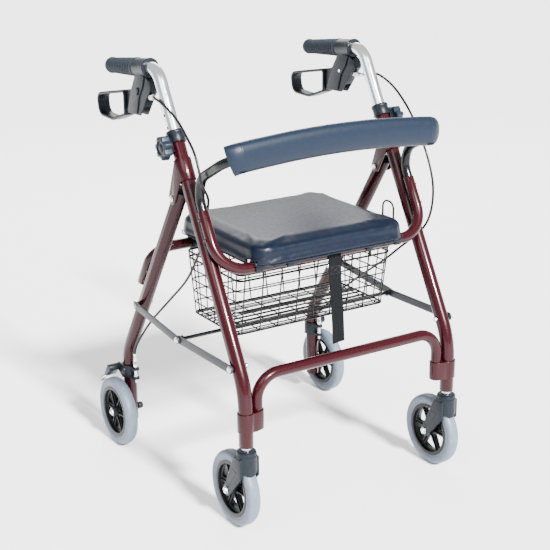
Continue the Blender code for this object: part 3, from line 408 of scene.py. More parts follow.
def thread():
    cotton = Surface("thread", (0.012, 0.015, 0.020), 0.7)
    cotton.tint(cotton.noise(500, 2), (0.009, 0.011, 0.015), (0.018, 0.021, 0.027))
    return cotton.bump(cotton.noise(3000, 2), 0.4, 0.0002).material


MATERIALS = {
    "burgundy_paint": burgundy_paint(),
    "bright_metal": bright_metal(),
    "grey_steel": grey_steel(),
    "black_steel": black_steel(),
    "basket_wire": basket_wire(),
    "black_plastic": moulded(
        "black_plastic", (0.0024, 0.0046, 0.0076), (0.0040, 0.0070, 0.0108), 0.38),
    "knob_plastic": moulded(
        "knob_plastic", (0.0060, 0.0115, 0.0185), (0.0090, 0.0160, 0.0245), 0.38),
    "rim_plastic": moulded(
        "rim_plastic", (0.0012, 0.0020, 0.0032), (0.0024, 0.0036, 0.0052), 0.36, 900),
    "grip_rubber": grip_rubber(),
    "tyre_rubber": tyre_rubber(),
    "seat_vinyl": seat_vinyl(),
    "foam": foam(),
    "webbing": webbing(),
    "cable_black": cable_black(),
    "thread": thread(),
}


# ---- Mesh tools --------------------------------------------------------------------------------
def finish(name, shape, material, body, replaces=(), smooth_angle=40.0):
    """Names a piece, gives it its material, and makes it ride on a body of the frame, if any."""
    shape.name = name
    shape.data.materials.clear()
    shape.data.materials.append(MATERIALS[material])
    if shape.type == "MESH":
        shape.data.shade_smooth()
        shape.data.set_sharp_from_angle(angle=math.radians(smooth_angle))
    if body:
        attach(shape, body)
    if replaces:
        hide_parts(*replaces)
    return shape


def to_object(builder):
    """Turns a bmesh into an object whose faces point out."""
    bmesh.ops.recalc_face_normals(builder, faces=builder.faces)
    mesh = bpy.data.meshes.new("shape")
    builder.to_mesh(mesh)
    builder.free()
    shape = bpy.data.objects.new("shape", mesh)
    bpy.context.collection.objects.link(shape)
    return shape


def apply_modifiers(shape):
    evaluated = shape.evaluated_get(bpy.context.evaluated_depsgraph_get())
    result = bpy.data.meshes.new_from_object(evaluated)
    shape.modifiers.clear()
    shape.data = result
    return shape


def combine(shape, tools, operation):
    """Joins tools to a shape, or cuts them from it, and keeps only the result."""
    for tool in tools:
        modifier = shape.modifiers.new("combine", "BOOLEAN")
        modifier.operation = operation
        modifier.solver = "EXACT"
        modifier.object = tool
        apply_modifiers(shape)
        bpy.data.objects.remove(tool, do_unlink=True)
    return shape


def join(shape, *tools):
    return combine(shape, tools, "UNION")


def cut(shape, *tools):
    return combine(shape, tools, "DIFFERENCE")


def soften(shape, width, segments=2, angle=30.0):
    """Rounds a shape's hard edges, as moulding and deburring leave them."""
    modifier = shape.modifiers.new("soften", "BEVEL")
    modifier.width = width
    modifier.segments = segments
    modifier.limit_method = "ANGLE"
    modifier.angle_limit = math.radians(angle)
    modifier.harden_normals = False
    return apply_modifiers(shape)


def rounded_path(corners):
    """Points along a line of corners (x, y, z, bend radius), with an arc at each inner corner."""
    points = [Vector(corners[0][:3])]
    for before, corner, after in zip(corners, corners[1:], corners[2:]):
        here = Vector(corner[:3])
        radius = corner[3]
        back = (Vector(before[:3]) - here).normalized()
        ahead = (Vector(after[:3]) - here).normalized()
        turn = math.pi - back.angle(ahead)
        reach = radius * math.tan(turn / 2)
        centre = here + (back + ahead).normalized() * (radius / math.cos(turn / 2))
        start = here + back * reach - centre
        end = here + ahead * reach - centre
        axis = start.cross(end).normalized()
        steps = max(4, math.ceil(math.degrees(turn) / BEND_STEP))
        for step in range(steps + 1):
            points.append(centre + Matrix.Rotation(turn * step / steps, 3, axis) @ start)
    points.append(Vector(corners[-1][:3]))
    return points


def smooth_line(points, count):
    """Evenly spread points on the Catmull-Rom curve through a few given ones."""
    ends = [points[0] * 2 - points[1]] + points + [points[-1] * 2 - points[-2]]
    spans = len(points) - 1
    line = []
    for index in range(count):
        place = index * spans / (count - 1)
        piece = min(int(place), spans - 1)
        t = place - piece
        a, b, c, d = ends[piece:piece + 4]
        line.append(0.5 * (2 * b + (c - a) * t + (2 * a - 5 * b + 4 * c - d) * t ** 2
                           + (3 * b - a - 3 * c + d) * t ** 3))
    return line


def sweep_rings(path, profile, across, upright=False):
    """Rings of points where a profile (along across, along its normal) crosses each path point."""
    rings = []
    for index, point in enumerate(path):
        before = path[max(index - 1, 0)]
        after = path[min(index + 1, len(path) - 1)]
        arriving = (point - before).normalized()
        leaving = (after - point).normalized()
        tangent = (arriving + leaving).normalized()
        reference = (across - tangent * across.dot(tangent)).normalized()
        if not upright:
            across = reference
        normal = tangent.cross(reference)
        rings.append([point + reference * a + normal * b for a, b in profile])
    return rings


def loft(rings, inner=None):
    """A solid through rings of points: capped at both ends, or open ended with an inner skin."""
    builder = bmesh.new()

    def skin(loops):
        made = [[builder.verts.new(point) for point in loop] for loop in loops]
        count = len(made[0])
        for lower, upper in zip(made, made[1:]):
            for i in range(count):
                j = (i + 1) % count
                builder.faces.new((lower[i], lower[j], upper[j], upper[i]))
        return made

    outer = skin(rings)
    if inner is None:
        builder.faces.new(outer[0])
        builder.faces.new(outer[-1])
    else:
        bore = skin(inner)
        count = len(bore[0])
        for end in (0, -1):
            for i in range(count):
                j = (i + 1) % count
                builder.faces.new((outer[end][i], outer[end][j], bore[end][j], bore[end][i]))
    return to_object(builder)


def circle(radius, sides):
    turns = [2 * math.pi * step / sides for step in range(sides)]
    return [(radius * math.cos(turn), radius * math.sin(turn)) for turn in turns]


def tube(path, radius, wall=0.0, sides=TUBE_SIDES, across=X_AXIS):
    """A round bar along a path, or a hollow tube open at both ends when it has a wall."""
    outer = sweep_rings(path, circle(radius, sides), across)
    if not wall:
        return loft(outer)
    return loft(outer, sweep_rings(path, circle(radius - wall, sides), across))


def turned(profile, centre, axis, sides, closed=True):
    """A turned solid: (radius, height) points about an axis. An open profile ends on the axis."""
    place = Matrix.Translation(centre) @ axis.to_track_quat("Z", "Y").to_matrix().to_4x4()
    builder = bmesh.new()
    rows = []
    for radius, height in profile:
        if radius == 0:
            rows.append([builder.verts.new(place @ Vector((0, 0, height)))] * sides)
            continue
        ring = [place @ Vector((a, b, height)) for a, b in circle(radius, sides)]
        rows.append([builder.verts.new(point) for point in ring])
    pairs = list(zip(rows, rows[1:]))
    if closed:
        pairs.append((rows[-1], rows[0]))
    for lower, upper in pairs:
        for i in range(sides):
            j = (i + 1) % sides
            corners = list(dict.fromkeys([lower[i], lower[j], upper[j], upper[i]]))
            if len(corners) > 2:
                builder.faces.new(corners)
    return to_object(builder)


def rod(start, end, radius, sides=24):
    """A plain cylinder between two points."""
    start, end = Vector(start), Vector(end)
    length = (end - start).length
    profile = [(0, 0), (radius, 0), (radius, length), (0, length)]
    return turned(profile, start, end - start, sides, closed=False)


def bolt(side, y, z, steps, sides=24):
    """A turned pin along X through (y, z): steps are (radius, x from, x to), inside to outside."""
    profile = [(0, steps[0][1])]
    for radius, start, end in steps:
        edge = min(0.0005, (end - start) / 4)
        profile += [(radius - edge, start), (radius, start + edge)]
        profile += [(radius, end - edge), (radius - edge, end)]
    profile.append((0, steps[-1][2]))
    return turned(profile, Vector((0, y, z)), X_AXIS * side, sides, closed=False)


def slab(outline, start, end):
    """An outline of (y, z) points made solid from x = start to x = end."""
    low, high = sorted((start, end))
    return loft([[Vector((x, y, z)) for y, z in outline] for x in (low, high)])


def plate(outline, bottom, top):
    """An outline of (x, y) points made solid from z = bottom to z = top."""
    return loft([[Vector((x, y, z)) for x, y in outline] for z in (bottom, top)])


def arc(centre, radius, start, end, steps):
    """Points on an arc about a centre, from one angle in degrees to another."""
    turns = [math.radians(start + (end - start) * step / steps) for step in range(steps + 1)]
    return [(centre[0] + radius * math.cos(t), centre[1] + radius * math.sin(t)) for t in turns]


def band(start, start_radius, end, end_radius, steps=14):
    """The outline round two circles: a link with round ends, or a tapered lug."""
    reach = Vector(end) - Vector(start)
    heading = math.degrees(math.atan2(reach.y, reach.x))
    lean = math.degrees(math.asin((start_radius - end_radius) / reach.length))
    first = arc(end, end_radius, heading - 90 + lean, heading + 90 - lean, steps)
    second = arc(start, start_radius, heading + 90 - lean, heading + 270 + lean, steps)
    return first + second


def rounded_outline(corners, steps=8):
    """A closed outline from corners (a, b, radius), each rounded by an arc."""
    outline = []
    count = len(corners)
    for index, (a, b, radius) in enumerate(corners):
        here = Vector((a, b))
        back = (Vector(corners[index - 1][:2]) - here).normalized()
        ahead = (Vector(corners[(index + 1) % count][:2]) - here).normalized()
        half = back.angle(ahead) / 2
        reach = radius / math.tan(half)
        centre = here + (back + ahead).normalized() * (radius / math.sin(half))
        start = here + back * reach - centre
        end = here + ahead * reach - centre
        turn = start.angle_signed(end)
        for step in range(steps + 1):
            spun = Matrix.Rotation(-turn * step / steps, 2) @ start
            outline.append((centre.x + spun.x, centre.y + spun.y))
    return outline


def hexagon(side, y, z, start, end, across_flats, turn=0.0):
    """A hexagonal nut along X, with chamfered corners."""
    outer = across_flats / 2 / math.cos(math.pi / 6)
    nut = slab(arc((y, z), outer, turn, turn + 300, 5), side * start, side * end)
    return soften(nut, 0.0005, 2)


def wire_curve(name, lines, radius, material, body, replaces=()):
    """Round wires along several lines of points, as one curve object. A closed line repeats."""
    curve = bpy.data.curves.new(name, "CURVE")
    curve.dimensions = "3D"
    curve.bevel_depth = radius
    curve.bevel_resolution = 3
    curve.use_fill_caps = True
    for line, cyclic in lines:
        spline = curve.splines.new("POLY")
        spline.points.add(len(line) - 1)
        spline.use_cyclic_u = cyclic
        for point, place in zip(spline.points, line):
            point.co = (*place, 1.0)
    shape = bpy.data.objects.new(name, curve)
    bpy.context.collection.objects.link(shape)
    return finish(name, shape, material, body, replaces)


def dashes(start, end, count, first, last):
    """A seam's stitches between two points: each fills its step from share first to share last."""
    run = end - start
    return [
        ([start + run * ((index + share) / count) for share in (first, last)], False)
        for index in range(count)
    ]


# ---- Front frame -------------------------------------------------------------------------------
def make_front_leg(label, side):
    path = rounded_path([
        (side * LEG_X, STEM_Y, FRONT_LEG_BOTTOM),
        (side * LEG_X, STEM_Y, FRONT_BEND_Z, 0.165),
        tuple(front_leg(side, FRONT_LEG_LENGTH)),
    ])
    leg = tube(path, LEG_RADIUS, LEG_WALL)
    stud = front_leg(side, KNOB_ALONG)
    cut(
        leg,
        rod(stud, stud + X_AXIS * side * 0.02, 0.0046),
        rod((side * 0.22, *BRACE_FRONT), (side * 0.27, *BRACE_FRONT), BOLT_HOLE),
    )
    finish("leg_front_" + label, soften(leg, 0.0003), "burgundy_paint", "front_frame",
           ["front_leg_" + label])


def make_front_seat_tube():
    ends = [front_leg(side, 0.3462, RAIL_STANDOFF) for side in (-1, 1)]
    corners = [front_leg(side, ARM_CORNER, RAIL_STANDOFF) for side in (-1, 1)]
    path = rounded_path([
        tuple(ends[0]), (*corners[0], 0.060), (*corners[1], 0.060), tuple(ends[1]),
    ])
    rail = tube(path, RAIL_RADIUS, RAIL_WALL)
    finish("seat_tube_front", soften(rail, 0.0003), "burgundy_paint", "front_frame",
           ["front_seat_tube"])
    for label, side in SIDES.items():
        for number, along in enumerate((0.290, 0.330)):
            start = front_leg(side, along, LEG_RADIUS - 0.0006)
            rivet = rod(start, front_leg(side, along, RAIL_STANDOFF), 0.0045)
            finish(f"arm_spacer_{label}_{number}", rivet, "burgundy_paint", "front_frame")
            dome = [(0, 0.0112), (0.0030, 0.0112), (0.0030, 0.0130), (0.0022, 0.0142), (0, 0.0146)]
            head = turned(dome, front_leg(side, along, RAIL_STANDOFF), X_AXIS * side, 20, False)
            finish(f"arm_rivet_{label}_{number}", head, "burgundy_paint", "front_frame")


def make_lower_cross_tube():
    y = STEM_Y + 0.004
    path = rounded_path([
        (-CROSS_TUBE_X, y, 0.216),
        (-CROSS_TUBE_X, y, CROSS_TUBE_Z, 0.048),
        (CROSS_TUBE_X, y, CROSS_TUBE_Z, 0.048),
        (CROSS_TUBE_X, y, 0.216),
    ])
    bar = soften(tube(path, RAIL_RADIUS, RAIL_WALL, across=Y_AXIS), 0.0003)
    finish("cross_tube_lower", bar, "burgundy_paint", "front_frame", ["lower_cross_tube"])


def make_leg_clamp(label, side):
    """The pressed figure-of-eight clamp, with its waist and two bolts."""
    leg = (side * LEG_X, STEM_Y)
    end = (side * CROSS_TUBE_X, STEM_Y + 0.004)
    bottom, top = 0.2115, 0.2500
    middle = (Vector(leg) + Vector(end)) / 2
    clamp = plate(band(leg, LEG_RADIUS + 0.0024, end, RAIL_RADIUS + 0.0024), bottom, top)
    waist = []
    for sign in (1, -1):
        y = middle.y + sign * 0.0270
        waist.append(rod((middle.x, y, bottom - 0.01), (middle.x, y, top + 0.01), 0.0125, 40))
    cut(clamp, *waist)
    for centre, radius in ((leg, LEG_RADIUS), (end, RAIL_RADIUS)):
        hole = rod((*centre, bottom - 0.01), (*centre, top + 0.01), radius + 0.0001, TUBE_SIDES)
        cut(clamp, hole)
    finish("clamp_leg_" + label, soften(clamp, 0.0007, 3), "burgundy_paint", "front_frame",
           ["leg_clamp_" + label])
    for number, z in enumerate((0.2210, 0.2405)):
        face = middle.y + 0.0146
        head = turned(
            [(0, 0.0024), (0.0020, 0.0024), (0.0036, 0.0010), (0.0038, 0.0), (0, 0.0)],
            Vector((middle.x, face - 0.0010, z)), Y_AXIS, 20, False)
        finish(f"clamp_bolt_{label}_{number}", head, "bright_metal", "front_frame")


def make_fold_bracket(label, side):
    """The pressed channel round a front leg, whose two ears hold the rear leg's pivot bolt."""
    bottom, top = 0.415, 0.459
    outer = LEG_RADIUS + GAP + 0.0025
    bracket = tube([front_leg(side, bottom), front_leg(side, top)], outer, 0.0025)
    pivot = (FOLD_Y, FOLD_Z)
    upper, lower = front_leg(side, top), front_leg(side, bottom)
    ear = [(upper.y, upper.z)] + arc(pivot, 0.0125, 20, -150, 20) + [(lower.y, lower.z)]
    thickness = 0.0026
    for offset in (LEG_RADIUS + GAP, -LEG_RADIUS - GAP - thickness):
        inner = side * (LEG_X + offset)
        join(bracket, slab(ear, inner, inner + side * thickness))
    cut(bracket, rod((side * 0.20, *pivot), (side * 0.29, *pivot), BOLT_HOLE))
    finish("bracket_fold_" + label, soften(bracket, 0.0006, 2), "burgundy_paint", "front_frame",
           ["fold_bracket_" + label])


def backrest_path():
    """Centre line of the backrest tube, from one plugged end to the other."""
    half = [
        (LEG_X, *front_leg(1, 0.316, RAIL_STANDOFF).yz, 0.0),
        (LEG_X, *front_leg(1, 0.372, RAIL_STANDOFF).yz, 0.044),
        (LEG_X, STEM_Y + 0.149, 0.672, 0.043),
        (LEG_X, STEM_Y + 0.0505, 0.7225, 0.034),
    ]
    middle = (0.0, STEM_Y + 0.0495, 0.7440, 2.0)
    mirrored = [(-x, y, z, radius) for x, y, z, radius in half]
    return rounded_path(mirrored + [middle] + half[::-1])


def pad_profile(height, thickness):
    """The foam sleeve's section: a rounded rectangle with softly bulging faces."""
    outline = []
    points, power = 48, 0.90
    for step in range(points):
        turn = 2 * math.pi * step / points
        a, b = math.cos(turn), math.sin(turn)
        up = height * math.copysign(abs(a) ** power, a)
        outline.append((up, thickness * math.copysign(abs(b) ** power, b)))
    return outline


def make_backrest():
    path = backrest_path()
    bar = tube(path, BACK_RADIUS, sides=32)
    finish("tube_backrest", bar, "black_steel", "front_frame", ["backrest_tube"])

    ends = span("backrest_pad", 0)[1]
    dense = smooth_line([point for point in path if abs(point.x) < LEG_X - 0.0085], 170)
    rings = []
    for point, ring in zip(dense, sweep_rings(dense, pad_profile(0.0290, 0.0160), Z_AXIS, True)):
        rounded = 0.022 if point.x > 0 else 0.004
        share = min(1.0, max(0.0, abs(point.x) - (ends - rounded)) / rounded)
        round_off = 1.0 - math.sqrt(1.0 - share ** 2)
        taper = Vector((1 - 0.28 * round_off, 1 - 0.28 * round_off, 1 - 0.34 * round_off))
        rings.append([point + (corner - point) * taper for corner in ring])
    bore = sweep_rings(dense, circle(BACK_RADIUS + 0.0004, 48), Z_AXIS, True)
    pad = loft(rings, bore)
    finish("pad_backrest", pad, "foam", "front_frame", ["backrest_pad"], 60.0)


def make_height_collar(label, side):
    """The plastic cap of a front leg, with two lips and the boss that the knob screws into."""
    bottom, step, top = 0.492, FRONT_LEG_LENGTH + GAP, 0.516
    bore = LEG_RADIUS + GAP
    profile = [
        (bore, bottom), (0.0174, bottom), (0.0178, bottom + 0.0005), (0.0178, bottom + 0.0030),
        (0.0170, bottom + 0.0038), (0.0170, top - 0.0070), (0.0178, top - 0.0060),
        (0.0178, top - 0.0022), (0.0166, top), (HANDLE_RADIUS + GAP, top),
        (HANDLE_RADIUS + GAP, step), (bore, step),
    ]
    collar = turned(profile, front_leg(side, 0), FRONT_UP, 48)
    inner = side * (LEG_X + bore)
    outline = []
    for along, out in ((0.472, -0.009), (0.503, -0.009), (0.503, 0.009), (0.472, 0.009)):
        corner = front_leg(side, along, out)
        outline.append((corner.y, corner.z, 0.003))
    join(collar, soften(slab(rounded_outline(outline, 4), inner, side * 0.2665), 0.0008))
    stud = front_leg(side, KNOB_ALONG)
    cut(collar, rod(stud, stud + X_AXIS * side * 0.04, 0.0044))
    finish("collar_height_" + label, collar, "black_plastic", "front_frame",
           ["height_collar_" + label])


def make_height_knob(label, side):
    stud = front_leg(side, KNOB_ALONG)
    lobes, points = 7, 112
    start, end = side * 0.2668, side * 0.2845
    sections = [(0.90, 0.0), (1.0, 0.12), (1.0, 0.80), (0.96, 0.92), (0.84, 1.0)]
    rings = []
    for scale, depth in sections:
        ring = []
        for index in range(points):
            turn = 2 * math.pi * index / points
            radius = scale * (0.0212 + 0.0028 * math.cos(lobes * turn))
            place = (stud.y + radius * math.cos(turn), stud.z + radius * math.sin(turn))
            ring.append(Vector((start + (end - start) * depth, *place)))
        rings.append(ring)
    knob = loft(rings)
    recess = [(0, 0), (0.0128, 0), (0.0138, 0.0028), (0, 0.0028)]
    cut(knob, turned(recess, Vector((end - side * 0.0022, *stud.yz)), X_AXIS * side, 40, False))
    finish("knob_height_" + label, knob, "knob_plastic", "height_knob_" + label,
           ["height_knob_" + label], 30)
    cap = turned([(0, 0.0019), (0.0060, 0.0019), (0.0080, 0.0006), (0.0082, 0), (0, 0)],
                 Vector((end - side * 0.0022, *stud.yz)), X_AXIS * side, 32, False)
    finish("knob_cap_" + label, cap, "black_plastic", "height_knob_" + label)
    tip = LEG_X + HANDLE_RADIUS + GAP
    screw = bolt(side, stud.y, stud.z, [(0.0038, tip, 0.2672)])
    finish("knob_screw_" + label, screw, "bright_metal", "height_knob_" + label)


# ---- Rear frame --------------------------------------------------------------------------------
def make_rear_leg(label, side):
    x = side * LEG_X
    path = rounded_path([
        tuple(rear_leg(side, -0.020)),
        (*rear_leg(side, REAR_BEND), 0.10),
        (x, REAR_AXLE_Y, 0.050),
    ])
    leg = tube(path, LEG_RADIUS, LEG_WALL)
    holes = [
        ((FOLD_Y, FOLD_Z), BOLT_HOLE), (BRACE_REAR, BOLT_HOLE),
        ((REAR_AXLE_Y, WHEEL_RADIUS), 0.0044),
    ]
    for place, radius in holes:
        cut(leg, rod((side * 0.22, *place), (side * 0.27, *place), radius))
    finish("leg_rear_" + label, soften(leg, 0.0003), "burgundy_paint", "rear_frame",
           ["rear_leg_" + label])
    top = rear_leg(side, -0.020)
    plug = turned([(0, 0), (LEG_RADIUS - 0.0002, 0), (LEG_RADIUS - 0.0012, 0.0004), (0, 0.0004)],
                  top, -REAR_DOWN, 32, False)
    finish("leg_plug_top_" + label, plug, "black_plastic", "rear_frame")
    inner = LEG_RADIUS - LEG_WALL - 0.0001
    foot = turned([(0, 0), (inner, 0), (inner, 0.006), (0, 0.006)],
                  Vector((x, REAR_AXLE_Y, 0.0502)), Z_AXIS, 32, False)
    finish("leg_plug_foot_" + label, foot, "black_plastic", "rear_frame")


def make_rear_seat_tube():
    ends = [rear_leg(side, REAR_CORNER + 0.102, REAR_RAIL_SETBACK) for side in (-1, 1)]
    corners = [rear_leg(side, REAR_CORNER, REAR_RAIL_SETBACK) for side in (-1, 1)]
    path = rounded_path([
        tuple(ends[0]), (*corners[0], 0.045), (*corners[1], 0.045), tuple(ends[1]),
    ])
    rail = soften(tube(path, RAIL_RADIUS), 0.0008)
    finish("seat_tube_rear", rail, "burgundy_paint", "rear_frame", ["rear_seat_tube"])
    for label, side in SIDES.items():
        for number, along in enumerate((REAR_CORNER + 0.058, REAR_CORNER + 0.088)):
            start = rear_leg(side, along, LEG_RADIUS + GAP)
            end = rear_leg(side, along, REAR_RAIL_SETBACK - RAIL_RADIUS / 2)
            spacer = rod(start, end, 0.0060)
            finish(f"rear_spacer_{label}_{number}", spacer, "burgundy_paint", "rear_frame")


def make_seat_rest(label, side):
    """A clip on the rear seat tube: the seat rests on it, and the basket's rim snaps into it."""
    y = REAR_RAIL_Y
    centre = (y, REAR_RAIL_Z)
    x = side * 0.150
    half = 0.0079
    outer = RAIL_RADIUS + GAP + 0.0030
    top = SEAT_BOARD[0] - GAP
    outline = [
        (y - 0.009, top), (y - 0.0165, 0.4885), (STEM_Y + 0.3255, 0.4885),
        (STEM_Y + 0.3255, 0.4715), (STEM_Y + 0.3290, 0.4715), (STEM_Y + 0.3290, 0.4822),
    ]
    outline += arc(centre, outer, 180, 385, 30) + [(y + 0.0060, top)]
    rest = soften(slab(outline, x - half, x + half), 0.0007)
    cut(rest, rod((x - 0.03, *centre), (x + 0.03, *centre), RAIL_RADIUS + GAP, TUBE_SIDES))
    finish("rest_seat_" + label, rest, "black_plastic", "rear_frame", ["seat_rest_" + label])


def make_fold_bolt(label, side):
    ear = LEG_RADIUS + GAP + 0.0026 + GAP
    pin = bolt(side, FOLD_Y, FOLD_Z, [
        (0.0030, LEG_X - ear, LEG_X + ear),
        (0.0065, LEG_X + ear, LEG_X + ear + 0.0012),
        (0.0050, LEG_X + ear + 0.0012, LEG_X + ear + 0.0035),
    ])
    finish("bolt_fold_" + label, pin, "bright_metal", "rear_frame", ["fold_bolt_" + label])
    nut = hexagon(side, FOLD_Y, FOLD_Z, LEG_X - ear - 0.0042, LEG_X - ear, 0.0100)
    finish("nut_fold_" + label, nut, "bright_metal", "rear_frame")


def make_rear_axle(label, side):
    """The rear axle: a black cap nut inside the leg, a spacer, and a domed nut outside the hub."""
    leg = LEG_RADIUS + GAP
    hub = REAR_WHEEL_X + 0.0155
    axle = bolt(side, REAR_AXLE_Y, WHEEL_RADIUS, [
        (0.0040, LEG_X - leg, LEG_X + leg),
        (0.0070, LEG_X + leg, REAR_WHEEL_X - 0.0158),
        (0.0040, REAR_WHEEL_X - 0.0158, hub + GAP),
        (0.0084, hub + GAP, hub + 0.0012),
    ])
    finish("axle_rear_" + label, axle, "bright_metal", "rear_frame", ["rear_axle_" + label])
    nut = hexagon(side, REAR_AXLE_Y, WHEEL_RADIUS, hub + 0.0012, 0.2950, 0.0125)
    finish("axle_nut_" + label, nut, "bright_metal", "rear_frame")
    dome = [(0, 0.2948), (0.0052, 0.2948), (0.0050, 0.2962), (0.0035, 0.2978), (0, 0.2984)]
    tip = turned(dome, Vector((0, REAR_AXLE_Y, WHEEL_RADIUS)), X_AXIS * side, 28, False)
    finish("axle_dome_" + label, tip, "bright_metal", "rear_frame")
    inner = LEG_X - leg
    cap = [
        (0, 0.2181), (0.0050, 0.2181), (0.0068, 0.2196), (0.0075, 0.2215),
        (0.0075, inner - 0.0012), (0.0068, inner - 0.0001), (0, inner - 0.0001),
    ]
    cap = turned(cap, Vector((0, REAR_AXLE_Y, WHEEL_RADIUS)), X_AXIS * side, 32, False)
    finish("axle_cap_" + label, cap, "black_plastic", "rear_frame")


def make_brake_clamp(label, side):
    """The rear brake's body: a band round the leg, two cable lugs and the arm's bearing."""
    bottom, top = 0.154, 0.182
    x = side * LEG_X
    bore = LEG_RADIUS + GAP
    cable_y = STEM_Y + 0.4735
    clamp = turned([(bore, bottom), (0.0186, bottom), (0.0186, top), (bore, top)],
                   Vector((x, REAR_AXLE_Y, 0)), Z_AXIS, 48)
    lug = rounded_outline([
        (x - 0.0075, cable_y - 0.0075, 0.005), (x + 0.0075, cable_y - 0.0075, 0.005),
        (x + 0.0075, REAR_AXLE_Y - 0.0148, 0.0005), (x - 0.0075, REAR_AXLE_Y - 0.0148, 0.0005),
    ])
    for height in (0.155, 0.176):
        join(clamp, plate(lug, height, height + 0.005))
    cheek = band(ARM_PIVOT, 0.009, (REAR_AXLE_Y, 0.168), 0.012)
    join(clamp, slab(cheek, side * 0.2595, side * 0.2638))
    cut(clamp, rod((side * 0.25, *ARM_PIVOT), (side * 0.28, *ARM_PIVOT), 0.0034))
    finish("clamp_brake_" + label, soften(clamp, 0.0004, 2, 50), "black_plastic", "rear_frame",
           ["brake_clamp_" + label])
    barrel = [
        (0, 0.1465), (0.0030, 0.1465), (0.0030, 0.1570), (0.0046, 0.1575), (0.0046, 0.1635),
        (0.0032, 0.1640), (0.0032, 0.1840), (0.0047, 0.1845), (0.0047, 0.1925), (0.0040, 0.1935),
        (0.0040, 0.2000), (0.0034, 0.2050), (0, 0.2050),
    ]
    barrel = turned(barrel, Vector((x, cable_y, 0)), Z_AXIS, 24, False)
    finish("adjuster_rear_" + label, barrel, "bright_metal", "rear_frame")


def make_brake_arm(label, side):
    """The arm over a rear wheel, with a shoe face that follows the tyre and a finger lip."""
    axle = (REAR_AXLE_Y, WHEEL_RADIUS)
    outline = arc(axle, WHEEL_RADIUS + 0.0051, 38, 67, 18)
    outline += arc(ARM_PIVOT, 0.0080, 262, 20, 20)
    outline += arc(axle, WHEEL_RADIUS + 0.0095, 61, 38, 14)
    arm = soften(slab(outline, side * 0.2642, side * 0.2893), 0.0014, 3)
    finish("arm_brake_" + label, arm, "black_plastic", "brake_arm_" + label,
           ["brake_arm_" + label])
    pin = bolt(side, *ARM_PIVOT, [(0.0030, 0.2596, 0.2660)])
    finish("arm_pin_" + label, pin, "bright_metal", "brake_arm_" + label)
    rail = arc(axle, WHEEL_RADIUS + 0.0050, 39, 64, 16)
    rail += arc(axle, WHEEL_RADIUS + 0.0068, 64, 39, 16)
    shoe = slab(rail, side * 0.2638, side * 0.2898)
    finish("arm_shoe_" + label, soften(shoe, 0.0004), "bright_metal", "brake_arm_" + label)


# ---- Handles and brake levers ------------------------------------------------------------------
def make_handle_tube(label, side):
    path = rounded_path([
        tuple(front_leg(side, 0.360)),
        (*front_leg(side, HANDLE_CORNER), 0.045),
        tuple(grip_point(side, GRIP_START + GRIP_LENGTH - 0.0053)),
    ])
    handle = tube(path, HANDLE_RADIUS, HANDLE_WALL)
    inch = 0.0254
    for step in range(1, 4):
        hole = front_leg(side, KNOB_ALONG + inch * step + 0.012)
        cut(handle, rod(hole, hole + X_AXIS * side * 0.02, 0.0032, 20))
    finish("tube_handle_" + label, handle, "bright_metal", "handle_" + label,
           ["handle_tube_" + label])


def make_grip(label, side):
    """The rubber grip: a flange, a run of rings, and a rounded end."""
    bore = HANDLE_RADIUS + GAP
    floor = GRIP_LENGTH - 0.005

    def radius_at(place):
        return 0.0192 - 0.0040 * place / GRIP_LENGTH

    profile = [(bore, 0.0), (0.0176, 0.0), (0.0192, 0.0015), (0.0195, 0.004), (0.0194, 0.008),
               (0.0180, 0.010)]
    rings = 12
    start, end = 0.0120, 0.1120
    pitch = (end - start) / rings
    for ring in range(rings):
        foot = start + ring * pitch
        profile += [
            (radius_at(foot) - 0.0019, foot), (radius_at(foot) - 0.0004, foot + 0.16 * pitch),
            (radius_at(foot), foot + 0.38 * pitch),
            (radius_at(foot) - 0.0004, foot + 0.64 * pitch),
            (radius_at(foot) - 0.0019, foot + 0.84 * pitch),
        ]
    profile += [
        (0.0150, 0.1135), (0.0166, 0.1170), (0.0168, 0.1220), (0.0156, 0.1262), (0.0120, 0.1284),
        (0.0, 0.1290), (0.0, floor),
    ]
    grip = turned([(bore, floor)] + profile, grip_point(side, GRIP_START), GRIP_AXIS, 64)
    finish("rubber_grip_" + label, grip, "grip_rubber", "handle_" + label, ["grip_" + label], 50)


